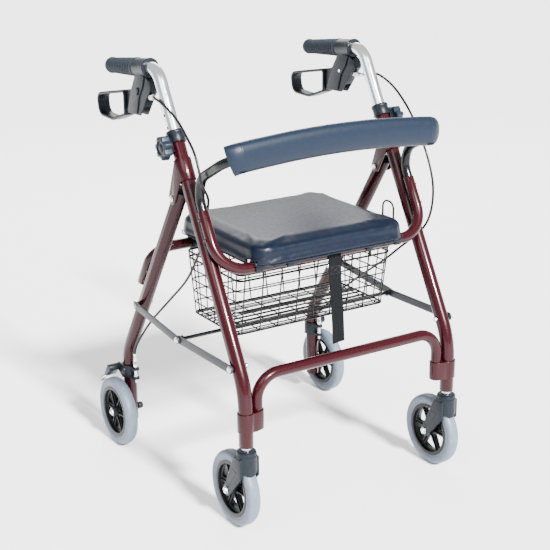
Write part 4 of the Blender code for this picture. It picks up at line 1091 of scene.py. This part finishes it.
def make_brake_bracket(label, side):
    """The moulded bracket: a band round the handle and two cheeks below it for the lever's hub."""
    x = side * LEG_X
    length = GRIP_START - BAND_START - GAP
    bore, outer = HANDLE_RADIUS + GAP, 0.0185
    lip = -0.0040
    ring = [
        (bore, lip), (outer + 0.0006, lip), (outer + 0.0013, lip + 0.0010),
        (outer + 0.0009, -0.0010), (outer, 0.0015), (outer, length - 0.001),
        (outer - 0.001, length), (bore, length),
    ]
    bracket = turned(ring, grip_point(side, BAND_START), GRIP_AXIS, 48)
    outline = [
        (STEM_Y + 0.352, 0.8420, 0.004), (STEM_Y + 0.3275, 0.8290, 0.004),
        (STEM_Y + 0.326, 0.8150, 0.003), (STEM_Y + 0.344, 0.7960, 0.006),
        (STEM_Y + 0.352, 0.7840, 0.006), (STEM_Y + 0.374, 0.7570, 0.006),
        (STEM_Y + 0.429, 0.7555, 0.005), (STEM_Y + 0.407, 0.8070, 0.012),
        (STEM_Y + 0.3895, 0.8300, 0.004), (STEM_Y + 0.3885, 0.8420, 0.001),
    ]
    plate_edge = [
        (STEM_Y + 0.346, 0.8400, 0.003), (STEM_Y + 0.3875, 0.8400, 0.001),
        (STEM_Y + 0.391, 0.8295, 0.004), (STEM_Y + 0.4065, 0.8070, 0.012),
        (STEM_Y + 0.4285, 0.7562, 0.005), (STEM_Y + 0.3850, 0.7590, 0.006),
        (STEM_Y + 0.3725, 0.7950, 0.014), (STEM_Y + 0.3560, 0.8160, 0.012),
    ]
    cheeks = soften(slab(rounded_outline(outline, 5), x - 0.0096, x + 0.0096), 0.0010, 2)
    join(cheeks, soften(slab(rounded_outline(plate_edge, 5), x - 0.0123, x + 0.0123), 0.0012, 3))
    tunnel = (grip_point(side, BAND_START - 0.03), grip_point(side, GRIP_START + 0.02))
    join(bracket, cut(cheeks, rod(*tunnel, bore + 0.0015, 64)))
    slot = [
        (STEM_Y + 0.359, 0.8210), (STEM_Y + 0.359, 0.7750), (STEM_Y + 0.372, 0.7500),
        (STEM_Y + 0.440, 0.7500), (STEM_Y + 0.440, 0.8210),
    ]
    cut(
        bracket,
        slab(slot, x - 0.0072, x + 0.0072),
        rod((x - 0.03, *LEVER_PIVOT), (x + 0.03, *LEVER_PIVOT), 0.0043),
    )
    finish("bracket_brake_" + label, bracket, "black_plastic", "handle_" + label,
           ["brake_bracket_" + label], 32)
    start = Vector((x + side * 0.0010, STEM_Y + 0.3450, 0.79860))
    end = Vector((x + side * 0.0040, STEM_Y + 0.3235, 0.8005))
    reach = (end - start).length
    barrel = [(0, 0), (0.0040, 0), (0.0040, reach * 0.30), (0.0060, reach * 0.33)]
    for step in range(4):
        foot = reach * (0.36 + 0.11 * step)
        barrel += [(0.0060, foot), (0.0054, foot + reach * 0.03), (0.0060, foot + reach * 0.07)]
    barrel += [(0.0056, reach * 0.84), (0.0038, reach * 0.90), (0.0036, reach), (0, reach)]
    barrel = turned(barrel, start, end - start, 28, False)
    finish("adjuster_front_" + label, barrel, "bright_metal", "handle_" + label)


def make_brake_lever(label, side):
    """The loop that the fingers squeeze: a soft-edged band, its hub, its pin and its oval cap."""
    x = side * LEG_X
    half_width = 0.0133
    outer = rounded_outline([
        (STEM_Y + 0.438, 0.8010, 0.007), (STEM_Y + 0.574, 0.7780, 0.018),
        (STEM_Y + 0.566, 0.7310, 0.022), (STEM_Y + 0.498, 0.7290, 0.034),
        (STEM_Y + 0.438, 0.7490, 0.007),
    ])
    inner = rounded_outline([
        (STEM_Y + 0.4435, 0.7945, 0.004), (STEM_Y + 0.5675, 0.7732, 0.013),
        (STEM_Y + 0.5605, 0.7364, 0.017), (STEM_Y + 0.4980, 0.7348, 0.029),
        (STEM_Y + 0.4435, 0.7530, 0.004),
    ])
    lever = slab(outer, x - half_width, x + half_width)
    cut(lever, slab(inner, x - 0.03, x + 0.03))
    soften(lever, 0.0016, 3)
    hub = arc(LEVER_PIVOT, 0.0105, 80, 260, 24) + [
        (STEM_Y + 0.4415, 0.7510), (STEM_Y + 0.4415, 0.7990),
    ]
    join(lever, soften(slab(hub, x - 0.0068, x + 0.0068), 0.0010))
    finish("lever_brake_" + label, lever, "black_plastic", "brake_lever_" + label,
           ["brake_lever_" + label], 32)
    pin = bolt(side, *LEVER_PIVOT, [(0.0038, LEG_X - 0.0124, LEG_X + 0.0132)])
    finish("lever_pin_" + label, pin, "bright_metal", "brake_lever_" + label)
    cap_start = side * (LEG_X + 0.0128)
    cap = band((LEVER_PIVOT[0] - 0.002, LEVER_PIVOT[1] + 0.005), 0.0056, LEVER_PIVOT, 0.0056)
    cap = soften(slab(cap, cap_start, cap_start + side * 0.0025), 0.0008, 3)
    finish("lever_cap_" + label, cap, "knob_plastic", "brake_lever_" + label)


# ---- Wheels and casters ------------------------------------------------------------------------
def make_wheel(name, label, side, x, y, body):
    """A dished, spoked rim with its hub and sleeve, and the solid tyre on it."""
    centre = Vector((side * x, y, WHEEL_RADIUS))
    hub, web, ring, radius = 0.0155, 0.0038, 0.0115, 0.0569
    profile = [
        (0.0043, -hub), (0.0102, -hub), (0.0110, -hub + 0.0008), (0.0122, -web - 0.002),
        (0.0150, -web), (0.0468, -web), (0.0488, -web - 0.0015), (0.0498, -ring),
        (radius, -ring), (radius, ring), (0.0498, ring), (0.0488, web + 0.0015), (0.0468, web),
        (0.0150, web), (0.0122, web + 0.002), (0.0110, hub - 0.0008), (0.0102, hub), (0.0043, hub),
    ]
    rim = turned(profile, centre, X_AXIS, 72)
    spokes = 6
    for index in range(spokes):
        middle = 360 * (index + 0.5) / spokes
        window = [(a, b, 0.0022) for a, b in arc((0, 0), 0.0458, middle - 23, middle + 23, 4)]
        window += [(a, b, 0.0015) for a, b in arc((0, 0), 0.0172, middle + 13, middle - 13, 1)]
        outline = [(centre.y + a, centre.z + b) for a, b in rounded_outline(window, 3)]
        cut(rim, slab(outline, centre.x - 0.01, centre.x + 0.01))
    finish(f"{name}_wheel_rim_{label}", soften(rim, 0.0005, 2, 45), "rim_plastic", body,
           [f"{name}_rim_{label}"])
    for index in range(spokes):
        turn = math.radians(360 * index / spokes)
        heading = Vector((0, math.cos(turn), math.sin(turn)))
        start, end = centre + heading * 0.0125, centre + heading * 0.0480
        aside = X_AXIS.cross(heading) * 0.0013
        depth = X_AXIS * 0.0082
        rib = loft([
            [start - aside - depth, start + aside - depth, start + aside + depth,
             start - aside + depth],
            [end - aside - depth * 0.75, end + aside - depth * 0.75, end + aside + depth * 0.75,
             end - aside + depth * 0.75],
        ])
        finish(f"{name}_spoke_{label}_{index}", soften(rib, 0.0006), "rim_plastic", body)

    half = 0.0135
    seat = radius + GAP
    tyre = [
        (seat, -0.0113), (0.0592, -0.0122), (0.0600, -0.0118), (0.0608, -0.0126),
        (0.0660, -half), (0.0700, -0.0131), (0.0730, -0.0116), (0.0750, -0.0088),
        (0.0760, -0.0050), (WHEEL_RADIUS, 0.0), (0.0760, 0.0050), (0.0750, 0.0088),
        (0.0730, 0.0116), (0.0700, 0.0131), (0.0660, half), (0.0608, 0.0126), (0.0600, 0.0118),
        (0.0592, 0.0122), (seat, 0.0113),
    ]
    tyre = turned(tyre, centre, X_AXIS, 96)
    finish(f"{name}_wheel_tyre_{label}", tyre, "tyre_rubber", body, [f"{name}_tyre_{label}"], 50)


def make_caster(label, side):
    body = "caster_" + label
    x = side * LEG_X
    axle = (STEM_Y + CASTER_TRAIL, WHEEL_RADIUS)
    cheek, slot, top = 0.0215, 0.0165, 0.1735
    boss = [
        (0, 0.1165), (0.0180, 0.1165), (0.0198, 0.1185), (0.0204, 0.1220), (0.0205, 0.1250),
        (0.0205, top - 0.0100), (0.0196, top - 0.0094), (0.0196, top - 0.0048),
        (0.0188, top - 0.0020), (0.0160, top), (0, top),
    ]
    fork = turned(boss, Vector((x, STEM_Y, 0)), Z_AXIS, 56, closed=False)
    outline = arc(axle, 0.0125, 55, -125, 24) + [
        (STEM_Y - 0.0120, 0.1200), (STEM_Y - 0.0120, 0.1600), (STEM_Y + 0.0130, 0.1600),
        (STEM_Y + 0.0205, 0.1470),
    ]
    join(fork, soften(slab(outline, x - cheek + 0.0002, x + cheek - 0.0002), 0.0014, 3))
    cut(
        fork,
        rod((x - slot, *axle), (x + slot, *axle), WHEEL_RADIUS + 0.0035, 96),
        rod((x - 0.04, *axle), (x + 0.04, *axle), 0.0043),
        rod((x, STEM_Y, 0.1500), (x, STEM_Y, 0.1900), 0.0063),
    )
    panel = rounded_outline([
        (STEM_Y + 0.0030, 0.1280, 0.003), (STEM_Y + 0.0185, 0.1340, 0.004),
        (STEM_Y + 0.0460, 0.0935, 0.003), (STEM_Y + 0.0330, 0.0885, 0.003),
    ], 5)
    rim = rounded_outline([
        (STEM_Y + 0.0050, 0.1268, 0.002), (STEM_Y + 0.0180, 0.1318, 0.003),
        (STEM_Y + 0.0440, 0.0938, 0.002), (STEM_Y + 0.0338, 0.0902, 0.002),
    ], 5)
    for face in (x - cheek - 0.0006, x + cheek - 0.0006):
        groove = slab(panel, face, face + 0.0012)
        cut(groove, slab(rim, face - 0.001, face + 0.0022))
        cut(fork, groove)
    finish("fork_caster_" + label, fork, "black_plastic", body, ["caster_fork_" + label], 32)

    leg_end = FRONT_LEG_BOTTOM - GAP
    collar = top + GAP
    bore = LEG_RADIUS - LEG_WALL - GAP
    stem = [
        (0, 0.1505), (0.0060, 0.1505), (0.0060, collar), (0.0096, collar),
        (0.0102, collar + 0.0006), (0.0102, collar + 0.0026), (0.0090, collar + 0.0034),
        (0.0090, collar + 0.0044),
        (0.0110, collar + 0.0052), (0.0110, leg_end), (bore, leg_end), (bore, 0.2150), (0, 0.2150),
    ]
    stem = turned(stem, Vector((x, STEM_Y, 0)), Z_AXIS, 40, closed=False)
    finish("stem_caster_" + label, stem, "bright_metal", body, ["caster_stem_" + label])

    nut = cheek + GAP
    pin = bolt(side, *axle, [
        (0.0075, LEG_X - nut - 0.0008, LEG_X - nut),
        (0.0040, LEG_X - nut, LEG_X + nut),
        (0.0075, LEG_X + nut, LEG_X + nut + 0.0010),
    ])
    finish("axle_front_" + label, pin, "bright_metal", body, ["front_axle_" + label])
    nuts = (
        ("outer", LEG_X + nut + 0.0010, LEG_X + nut + 0.0040),
        ("inner", LEG_X - nut - 0.0040, LEG_X - nut - 0.0008),
    )
    for place, start, end in nuts:
        head = hexagon(side, *axle, start, end, 0.0120)
        finish(f"axle_head_{place}_{label}", head, "bright_metal", body)
    make_wheel("front", label, side, LEG_X, axle[0], "front_wheel_" + label)


# ---- Folding braces ----------------------------------------------------------------------------
def brace_link(label, side, name, ends, face, body, node):
    """A flat link with round ends and rolled edges."""
    link = slab(band(ends[0], 0.0085, ends[1], 0.0085), side * face, side * (face + 0.0028))
    soften(link, 0.0006)
    if name == "front":
        cut(link, rod((side * 0.25, *BRACE_MIDDLE), (side * 0.28, *BRACE_MIDDLE), 0.0043))
    finish(f"brace_{name}_{label}", link, "grey_steel", body, [node])


def make_braces(label, side):
    nut = LEG_X - LEG_RADIUS - GAP
    spacer = LEG_X + LEG_RADIUS + GAP
    front_face, rear_face = 0.2620, 0.2655
    front_out, rear_out = front_face + 0.0028, rear_face + 0.0028
    brace_link(label, side, "front", (BRACE_FRONT, BRACE_MIDDLE), front_face, "front_braces",
               "front_brace_" + label)
    brace_link(label, side, "rear", (BRACE_REAR, BRACE_MIDDLE), rear_face, "rear_braces",
               "rear_brace_" + label)
    pivots = (
        ("front", BRACE_FRONT, front_face, front_out, 0.0032, "front_braces"),
        ("rear", BRACE_REAR, rear_face, rear_out, 0.0035, "rear_braces"),
    )
    for name, place, face, out, head, body in pivots:
        pin = bolt(side, *place, [
            (0.0030, nut, out), (0.0062, out, out + 0.0009), (0.0048, out + 0.0009, out + head),
        ])
        sleeve = turned([(0.0031, spacer), (0.0065, spacer), (0.0065, face), (0.0031, face)],
                        Vector((0, *place)), X_AXIS * side, 24)
        finish(f"brace_spacer_{name}_{label}", sleeve, "black_plastic", body)
        finish(f"brace_bolt_{name}_{label}", pin, "bright_metal", body)
        lock = hexagon(side, *place, nut - 0.0041, nut, 0.0098)
        finish(f"brace_nut_{name}_{label}", lock, "bright_metal", body)
    washer = bolt(side, *BRACE_MIDDLE, [
        (0.0060, rear_out, rear_out + 0.0009), (0.0046, rear_out + 0.0009, rear_out + 0.0035),
    ])
    finish("brace_bolt_middle_" + label, washer, "bright_metal", "rear_braces")


def make_cross_rod():
    bush = 0.2620 - GAP
    neck = bush - 0.008
    end = 0.2620 + 0.0028
    bar = bolt(1, *BRACE_MIDDLE, [
        (0.0040, -end, -bush), (0.0074, -bush, -neck), (0.0040, -neck, neck),
        (0.0074, neck, bush), (0.0040, bush, end),
    ])
    finish("rod_cross", bar, "black_steel", "front_braces", ["cross_rod"])


# ---- Seat --------------------------------------------------------------------------------------
def rounded_rectangle(half_width, front, rear, radius, steps=10):
    return rounded_outline([
        (-half_width, front, radius), (half_width, front, radius),
        (half_width, rear, radius), (-half_width, rear, radius),
    ], steps)


def make_seat_board():
    """The moulded seat pan, with its hinge clips round the front seat tube."""
    low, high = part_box("seat_cushion")
    half_width, front, rear = high[0], low[1], high[1]
    inset = 0.0078
    edge = rounded_rectangle(half_width - inset, front + inset, rear - inset, 0.0192)
    board = plate(edge, *SEAT_BOARD)
    soften(board, 0.0008, 2)
    for column in (-1, 0, 1):
        pocket = plate(rounded_rectangle(0.046, front + 0.060, rear - 0.045, 0.008, 4),
                       SEAT_BOARD[0] - 0.004, SEAT_BOARD[0] + 0.0022)
        pocket.data.transform(Matrix.Translation((0.104 * column, 0, 0)))
        cut(board, pocket)
    centre = (SEAT_TUBE_Y, SEAT_TUBE_Z)
    inner, outer = RAIL_RADIUS + GAP, RAIL_RADIUS + 0.0038
    for x in (-0.165, -0.094, 0.094, 0.165):
        hoop = arc(centre, outer, -35, 215, 32) + arc(centre, inner, 215, -35, 32)
        clip = slab(hoop, x - 0.008, x + 0.008)
        foot = plate([
            (x - 0.008, SEAT_TUBE_Y - 0.008), (x + 0.008, SEAT_TUBE_Y - 0.008),
            (x + 0.008, SEAT_TUBE_Y + 0.008), (x - 0.008, SEAT_TUBE_Y + 0.008),
        ], SEAT_TUBE_Z + inner + 0.0010, SEAT_BOARD[0] + 0.0010)
        join(board, soften(join(clip, foot), 0.0005, 2, 50))
    finish("board_seat", board, "black_plastic", "seat", ["seat_board"], 35)
    return half_width, front, rear


def cushion_shape(half_width, front, rear, bottom, top):
    """A slab of foam with a rounded top edge and a low crown, before the cover tightens on it."""
    levels = [
        (0.0015, bottom, 0.032), (0.0, bottom + 0.0015, 0.034), (0.0, bottom + 0.012, 0.034),
        (0.0, top - 0.011, 0.034), (0.0012, top - 0.0065, 0.034), (0.0040, top - 0.0028, 0.031),
        (0.0085, top - 0.0005, 0.028), (0.0160, top + 0.0003, 0.024),
    ]
    rings = []
    for inset, z, radius in levels:
        outline = rounded_rectangle(half_width - inset, front + inset, rear - inset, radius)
        rings.append([Vector((x, y, z)) for x, y in outline])
    return loft(rings)


def swell(shape, limit, pressure=4.0, voxel=0.0048):
    """Blows a cover up from inside with Blender's cloth, and caps how far any point moves."""
    remesh = shape.modifiers.new("remesh", "REMESH")
    remesh.mode = "VOXEL"
    remesh.voxel_size = voxel
    apply_modifiers(shape)
    rest = [vertex.co.copy() for vertex in shape.data.vertices]
    bottom = min(point.z for point in rest)
    pinned = shape.vertex_groups.new(name="pinned")
    pinned.add([i for i, point in enumerate(rest) if point.z < bottom + 0.004], 1.0, "ADD")
    cloth = shape.modifiers.new("cloth", "CLOTH")
    settings = cloth.settings
    settings.use_pressure = True
    settings.uniform_pressure_force = pressure
    settings.vertex_group_mass = "pinned"
    settings.tension_stiffness = 40
    settings.compression_stiffness = 40
    settings.effector_weights.gravity = 0.0
    frames = 20
    cloth.point_cache.frame_start = 1
    cloth.point_cache.frame_end = frames
    for step in range(1, frames + 1):
        bpy.context.scene.frame_set(step)
    apply_modifiers(shape)
    bpy.context.scene.frame_set(1)
    for vertex, before in zip(shape.data.vertices, rest):
        move = vertex.co - before
        if move.length > limit:
            vertex.co = before + move.normalized() * limit
    return shape


def make_seat_cushion(half_width, front, rear):
    """The vinyl-covered cushion: swollen by cloth, then creased where the cover is tight."""
    bottom, top = SEAT_BOTTOM, span("seat_cushion", 2)[1]
    slack = 0.0015               # room for the cover to swell
    cushion = cushion_shape(half_width - slack, front + slack, rear - slack, bottom, top - 0.002)
    swell(cushion, 0.0045)
    middle_y = (front + rear) / 2
    for vertex in cushion.data.vertices:
        x, y, z = vertex.co
        across = min(1.0, abs(x) / half_width)
        along = min(1.0, abs(y - middle_y) / ((rear - front) / 2))
        crown = (1 - across ** 4) * (1 - along ** 4)
        lift = max(0.0, (z - bottom) / (top - bottom))
        vertex.co.z += 0.0008 * crown * lift ** 2
        edge = max(across, along) ** 12
        pleat = math.sin(x * 140 + 1.7 * math.sin(y * 55))
        pleat *= math.sin(y * 150 + 1.3 * math.sin(x * 48))
        vertex.co.z += 0.00035 * pleat * edge * lift
        vertex.co.z = max(vertex.co.z, bottom + 0.0001)
    relax = cushion.modifiers.new("relax", "SMOOTH")
    relax.factor = 0.5
    relax.iterations = 4
    fine = cushion.modifiers.new("fine", "SUBSURF")
    fine.levels = 1
    fine.render_levels = 1
    apply_modifiers(cushion)
    for vertex in cushion.data.vertices:
        vertex.co.z = max(vertex.co.z, bottom + 0.0001)
    pocket = plate(rounded_rectangle(half_width - 0.0070, front + 0.0070, rear - 0.0070, 0.020),
                   SEAT_BOTTOM - 0.01, SEAT_BOARD[1] + GAP)
    groove = [
        (SEAT_TUBE_Y - 0.0150, SEAT_BOTTOM - 0.01), (SEAT_TUBE_Y + 0.0150, SEAT_BOTTOM - 0.01),
        (SEAT_TUBE_Y + 0.0150, SEAT_BOARD[0]), (SEAT_TUBE_Y - 0.0150, SEAT_BOARD[0]),
    ]
    cut(cushion, pocket, slab(groove, -0.2, 0.2))
    finish("cushion_seat", cushion, "seat_vinyl", "seat", ["seat_cushion"], 80)

    path = rounded_rectangle(half_width - 0.0005, front + 0.0005, rear - 0.0005, 0.034, 14)
    welt = [Vector((x, y, bottom + 0.0034)) for x, y in path]
    wire_curve("cushion_welt", [(welt, True)], 0.0013, "seat_vinyl", "seat")
    stitches = []
    for start, end in zip(welt, welt[1:] + welt[:1]):
        run = end - start
        offset = Vector((run.y, -run.x, 0)).normalized() * 0.0004 + Z_AXIS * 0.0044
        count = max(1, round(run.length / 0.0062))
        stitches += dashes(start + offset, end + offset, count, 0.2, 0.72)
    wire_curve("cushion_stitches", stitches, 0.00042, "thread", "seat")


def make_bag_hook():
    """The bent wire hook at the seat's side."""
    y, x, low = STEM_Y + 0.160, 0.1920, SEAT_BOTTOM - 0.0034
    path = rounded_path([
        (0.1600, y, SEAT_BOARD[0] + 0.0030), (0.1600, y, low, 0.005), (x, y, low, 0.006),
        (x, y, 0.5660, 0.015), (x, y - 0.036, 0.5660, 0.015),
        (x, y - 0.036, 0.5340, 0.006), (x, y - 0.045, 0.5270),
    ])
    wire_curve("hook_bag", [(path, False)], 0.0021, "basket_wire", "seat")


# ---- Basket ------------------------------------------------------------------------------------
BASKET_WIRE = 0.0021             # radius of the rim and the bottom ring
GRID_WIRE = 0.0015


def basket_corner(height):
    """Half width, front and rear of the basket's shell at a share of its height."""
    bottom = span("basket", 2)[0]
    width = 0.1825 + (0.1850 - 0.1825) * height - BASKET_WIRE
    front = STEM_Y + 0.137 + (0.115 - 0.137) * height + BASKET_WIRE
    rear = STEM_Y + 0.3130 + (0.3335 - 0.3130) * height - BASKET_WIRE
    z = bottom + BASKET_WIRE + (0.4790 - bottom - 2 * BASKET_WIRE) * height
    return width, front, rear, z


def basket_point(along_x, along_y, height):
    """A point of the shell, from shares (-1 to 1) of its half width and half depth."""
    width, front, rear, z = basket_corner(height)
    return Vector((width * along_x, (front + rear) / 2 + (rear - front) / 2 * along_y, z))


def basket_ring(height, inset=0.0):
    """A level ring of wire round the shell."""
    width, front, rear, z = basket_corner(height)
    ring = rounded_rectangle(width - inset, front + inset, rear - inset, 0.013, 6)
    return [Vector((x, y, z)) for x, y in ring]


def make_basket():
    """The wire basket: a heavy rim, level hoops, uprights, and a grid floor."""
    heavy = [(basket_ring(height), True) for height in (1.0, 0.0, 0.9)]
    wire_curve("basket_frame", heavy, BASKET_WIRE, "basket_wire", "basket", ["basket"])

    light = [(basket_ring(height, 0.0006), True) for height in (0.18, 0.36, 0.54, 0.72)]
    columns, rows, floor_wires = 9, 7, 10
    for index in range(columns):
        share = 0.93 * (2 * index / (columns - 1) - 1)
        corners = ((-1.0, 1.0), (-1.0, 0.0), (1.0, 0.0), (1.0, 1.0))
        light.append(([basket_point(share, along, height) for along, height in corners], False))
    for index in range(rows):
        share = 0.90 * (2 * index / (rows - 1) - 1)
        corners = ((-1.0, 1.0), (-1.0, 0.0), (1.0, 0.0), (1.0, 1.0))
        light.append(([basket_point(along, share, height) for along, height in corners], False))
    for index in range(floor_wires):
        share = 0.84 * (2 * index / (floor_wires - 1) - 1) + 0.03
        ends = (-1.0, 1.0)
        line = [basket_point(along, share, 0.0) + Z_AXIS * 0.0006 for along in ends]
        light.append((line, False))
    wire_curve("basket_grid", light, GRID_WIRE, "basket_wire", "basket")

    hooks = []
    centre = (SEAT_TUBE_Y, SEAT_TUBE_Z)
    radius = RAIL_RADIUS + 0.0020
    for x in (-0.130, 0.130):
        loop = [Vector((x, y, z)) for y, z in arc(centre, radius, 195, 10, 18)]
        rim = basket_point(x / 0.1834, -1.0, 1.0)
        loop.append(Vector((x, rim.y - 0.0005, rim.z + 0.0015)))
        loop.append(Vector((x, rim.y + 0.0006, rim.z - 0.012)))
        hooks.append((loop, False))
    wire_curve("basket_hooks", hooks, 0.0014, "basket_wire", "basket")


# ---- Strap and cables --------------------------------------------------------------------------
def make_fold_strap():
    """The webbing strap: round the front seat tube, stitched below it, and hanging free."""
    top_x, lean = 0.010, 0.010
    half = 0.0143
    tube_radius = RAIL_RADIUS + 0.0010
    bottom = span("fold_strap", 2)[0] - 0.0030
    hang = SEAT_TUBE_Y - tube_radius
    line = [(hang + 0.0011, 0.4735), (hang + 0.0020, 0.4875)]
    line += arc((SEAT_TUBE_Y, SEAT_TUBE_Z), tube_radius, -150, 150, 30)
    line += [
        (hang, SEAT_TUBE_Z - 0.012), (hang, 0.4550), (hang - 0.0008, 0.4300),
        (hang - 0.0020, 0.4050), (hang - 0.0026, 0.3800), (hang - 0.0020, 0.3550),
        (hang - 0.0006, 0.3330), (hang + 0.0008, bottom),
    ]
    free = SEAT_TUBE_Z - 0.030
    path = []
    for y, z in line:
        fall = max(0.0, free - z) / (free - bottom)
        path.append(Vector((top_x + lean * fall ** 1.5, y, z)))
    thin = 0.00065               # half the webbing's thickness
    profile = [(half, thin), (-half, thin), (-half, -thin), (half, -thin)]
    strap = loft(sweep_rings(path, profile, X_AXIS, True))
    finish("strap_fold", strap, "webbing", "strap", ["fold_strap"], 50)
    face = hang - 0.0009
    box = [(-0.010, 0.4755), (0.010, 0.4755), (0.010, 0.4595), (-0.010, 0.4595)]
    corners = [Vector((top_x + x, face, z)) for x, z in box]
    runs = list(zip(corners, corners[1:] + corners[:1]))
    runs += [(corners[0], corners[2]), (corners[1], corners[3])]
    stitches = []
    for start, end in runs:
        count = max(2, round((end - start).length / 0.0026))
        stitches += dashes(start, end, count, 0.15, 0.75)
    wire_curve("strap_stitches", stitches, 0.0003, "thread", "strap")


# Offsets (x outboard, y behind the caster stem, z) down each side, as in the CAD.
CABLE_ROUTES = {
    "right": [
        (0.2487, 0.3225, 0.8005), (0.2530, 0.3110, 0.8020), (0.2590, 0.2960, 0.8030),
        (0.2613, 0.2700, 0.8000), (0.2613, 0.2290, 0.7870), (0.2613, 0.1985, 0.7725),
        (0.2613, 0.1720, 0.7530), (0.2613, 0.1406, 0.7250), (0.2615, 0.1235, 0.6930),
        (0.2600, 0.1200, 0.6720), (0.2480, 0.1280, 0.6530), (0.2370, 0.1390, 0.6400),
        (0.2310, 0.1460, 0.6280), (0.2287, 0.1530, 0.6110), (0.2268, 0.1649, 0.5851),
        (0.2268, 0.1791, 0.5419), (0.2268, 0.2014, 0.5040), (0.2268, 0.2520, 0.4410),
        (0.2290, 0.3240, 0.3790), (0.2350, 0.3960, 0.3160), (0.2420, 0.4380, 0.2680),
        (0.2445, 0.4610, 0.2380), (0.2445, 0.4722, 0.2170), (0.2445, 0.4735, 0.2056),
    ],
    "left": [
        (0.2487, 0.3225, 0.8005), (0.2530, 0.3120, 0.8015), (0.2590, 0.2960, 0.8035),
        (0.2616, 0.2740, 0.8050), (0.2616, 0.2290, 0.7900), (0.2616, 0.1890, 0.7640),
        (0.2625, 0.1550, 0.7300), (0.2640, 0.1240, 0.6860), (0.2640, 0.1000, 0.6430),
        (0.2635, 0.0860, 0.6020), (0.2630, 0.0860, 0.5600), (0.2630, 0.1000, 0.5210),
        (0.2610, 0.1260, 0.4900), (0.2480, 0.1440, 0.4700), (0.2340, 0.1640, 0.4480),
        (0.2270, 0.1960, 0.4200), (0.2270, 0.2600, 0.3760), (0.2290, 0.3240, 0.3320),
        (0.2360, 0.3900, 0.2850), (0.2430, 0.4410, 0.2410), (0.2445, 0.4690, 0.2180),
        (0.2445, 0.4735, 0.2056),
    ],
}


def make_brake_cable(label, side):
    """A cable housing in two lengths that meet beside the frame: each crosses one joint."""
    route = [Vector((side * x, STEM_Y + y, z)) for x, y, z in CABLE_ROUTES[label]]
    line = smooth_line(route, 150)
    middle = min(range(len(line)), key=lambda index: abs(line[index].z - 0.60))
    upper = tube(line[:middle + 1], CABLE_RADIUS, sides=14)
    lower = tube(line[middle:], CABLE_RADIUS, sides=14)
    finish("cable_upper_" + label, upper, "cable_black", None, ["brake_cable_" + label])
    finish("cable_lower_" + label, lower, "cable_black", None)
    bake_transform(upper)
    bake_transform(lower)
    ends = (
        ("upper", line[0], line[3], "handle_" + label),
        ("lower", line[-1], line[-4], "rear_frame"),
    )
    for name, end, before, body in ends:
        axis = (before - end).normalized()
        ferrule = [
            (0, 0.0002), (0.0032, 0.0002), (0.0034, 0.001), (0.0034, 0.008), (0.0030, 0.009),
            (0, 0.009),
        ]
        ferrule = turned(ferrule, end, axis, 20, False)
        finish(f"cable_ferrule_{name}_{label}", ferrule, "bright_metal", body)


# ---- Assembly ----------------------------------------------------------------------------------
make_camera()
make_studio()
make_front_seat_tube()
make_lower_cross_tube()
make_backrest()
make_rear_seat_tube()
make_cross_rod()
make_seat_cushion(*make_seat_board())
make_bag_hook()
make_basket()
make_fold_strap()
for label, sign in SIDES.items():
    make_front_leg(label, sign)
    make_leg_clamp(label, sign)
    make_fold_bracket(label, sign)
    make_height_collar(label, sign)
    make_height_knob(label, sign)
    make_rear_leg(label, sign)
    make_seat_rest(label, sign)
    make_fold_bolt(label, sign)
    make_rear_axle(label, sign)
    make_brake_clamp(label, sign)
    make_brake_arm(label, sign)
    make_handle_tube(label, sign)
    make_grip(label, sign)
    make_brake_bracket(label, sign)
    make_brake_lever(label, sign)
    make_caster(label, sign)
    make_wheel("rear", label, sign, REAR_WHEEL_X, REAR_AXLE_Y, "rear_wheel_" + label)
    make_braces(label, sign)
    make_brake_cable(label, sign)
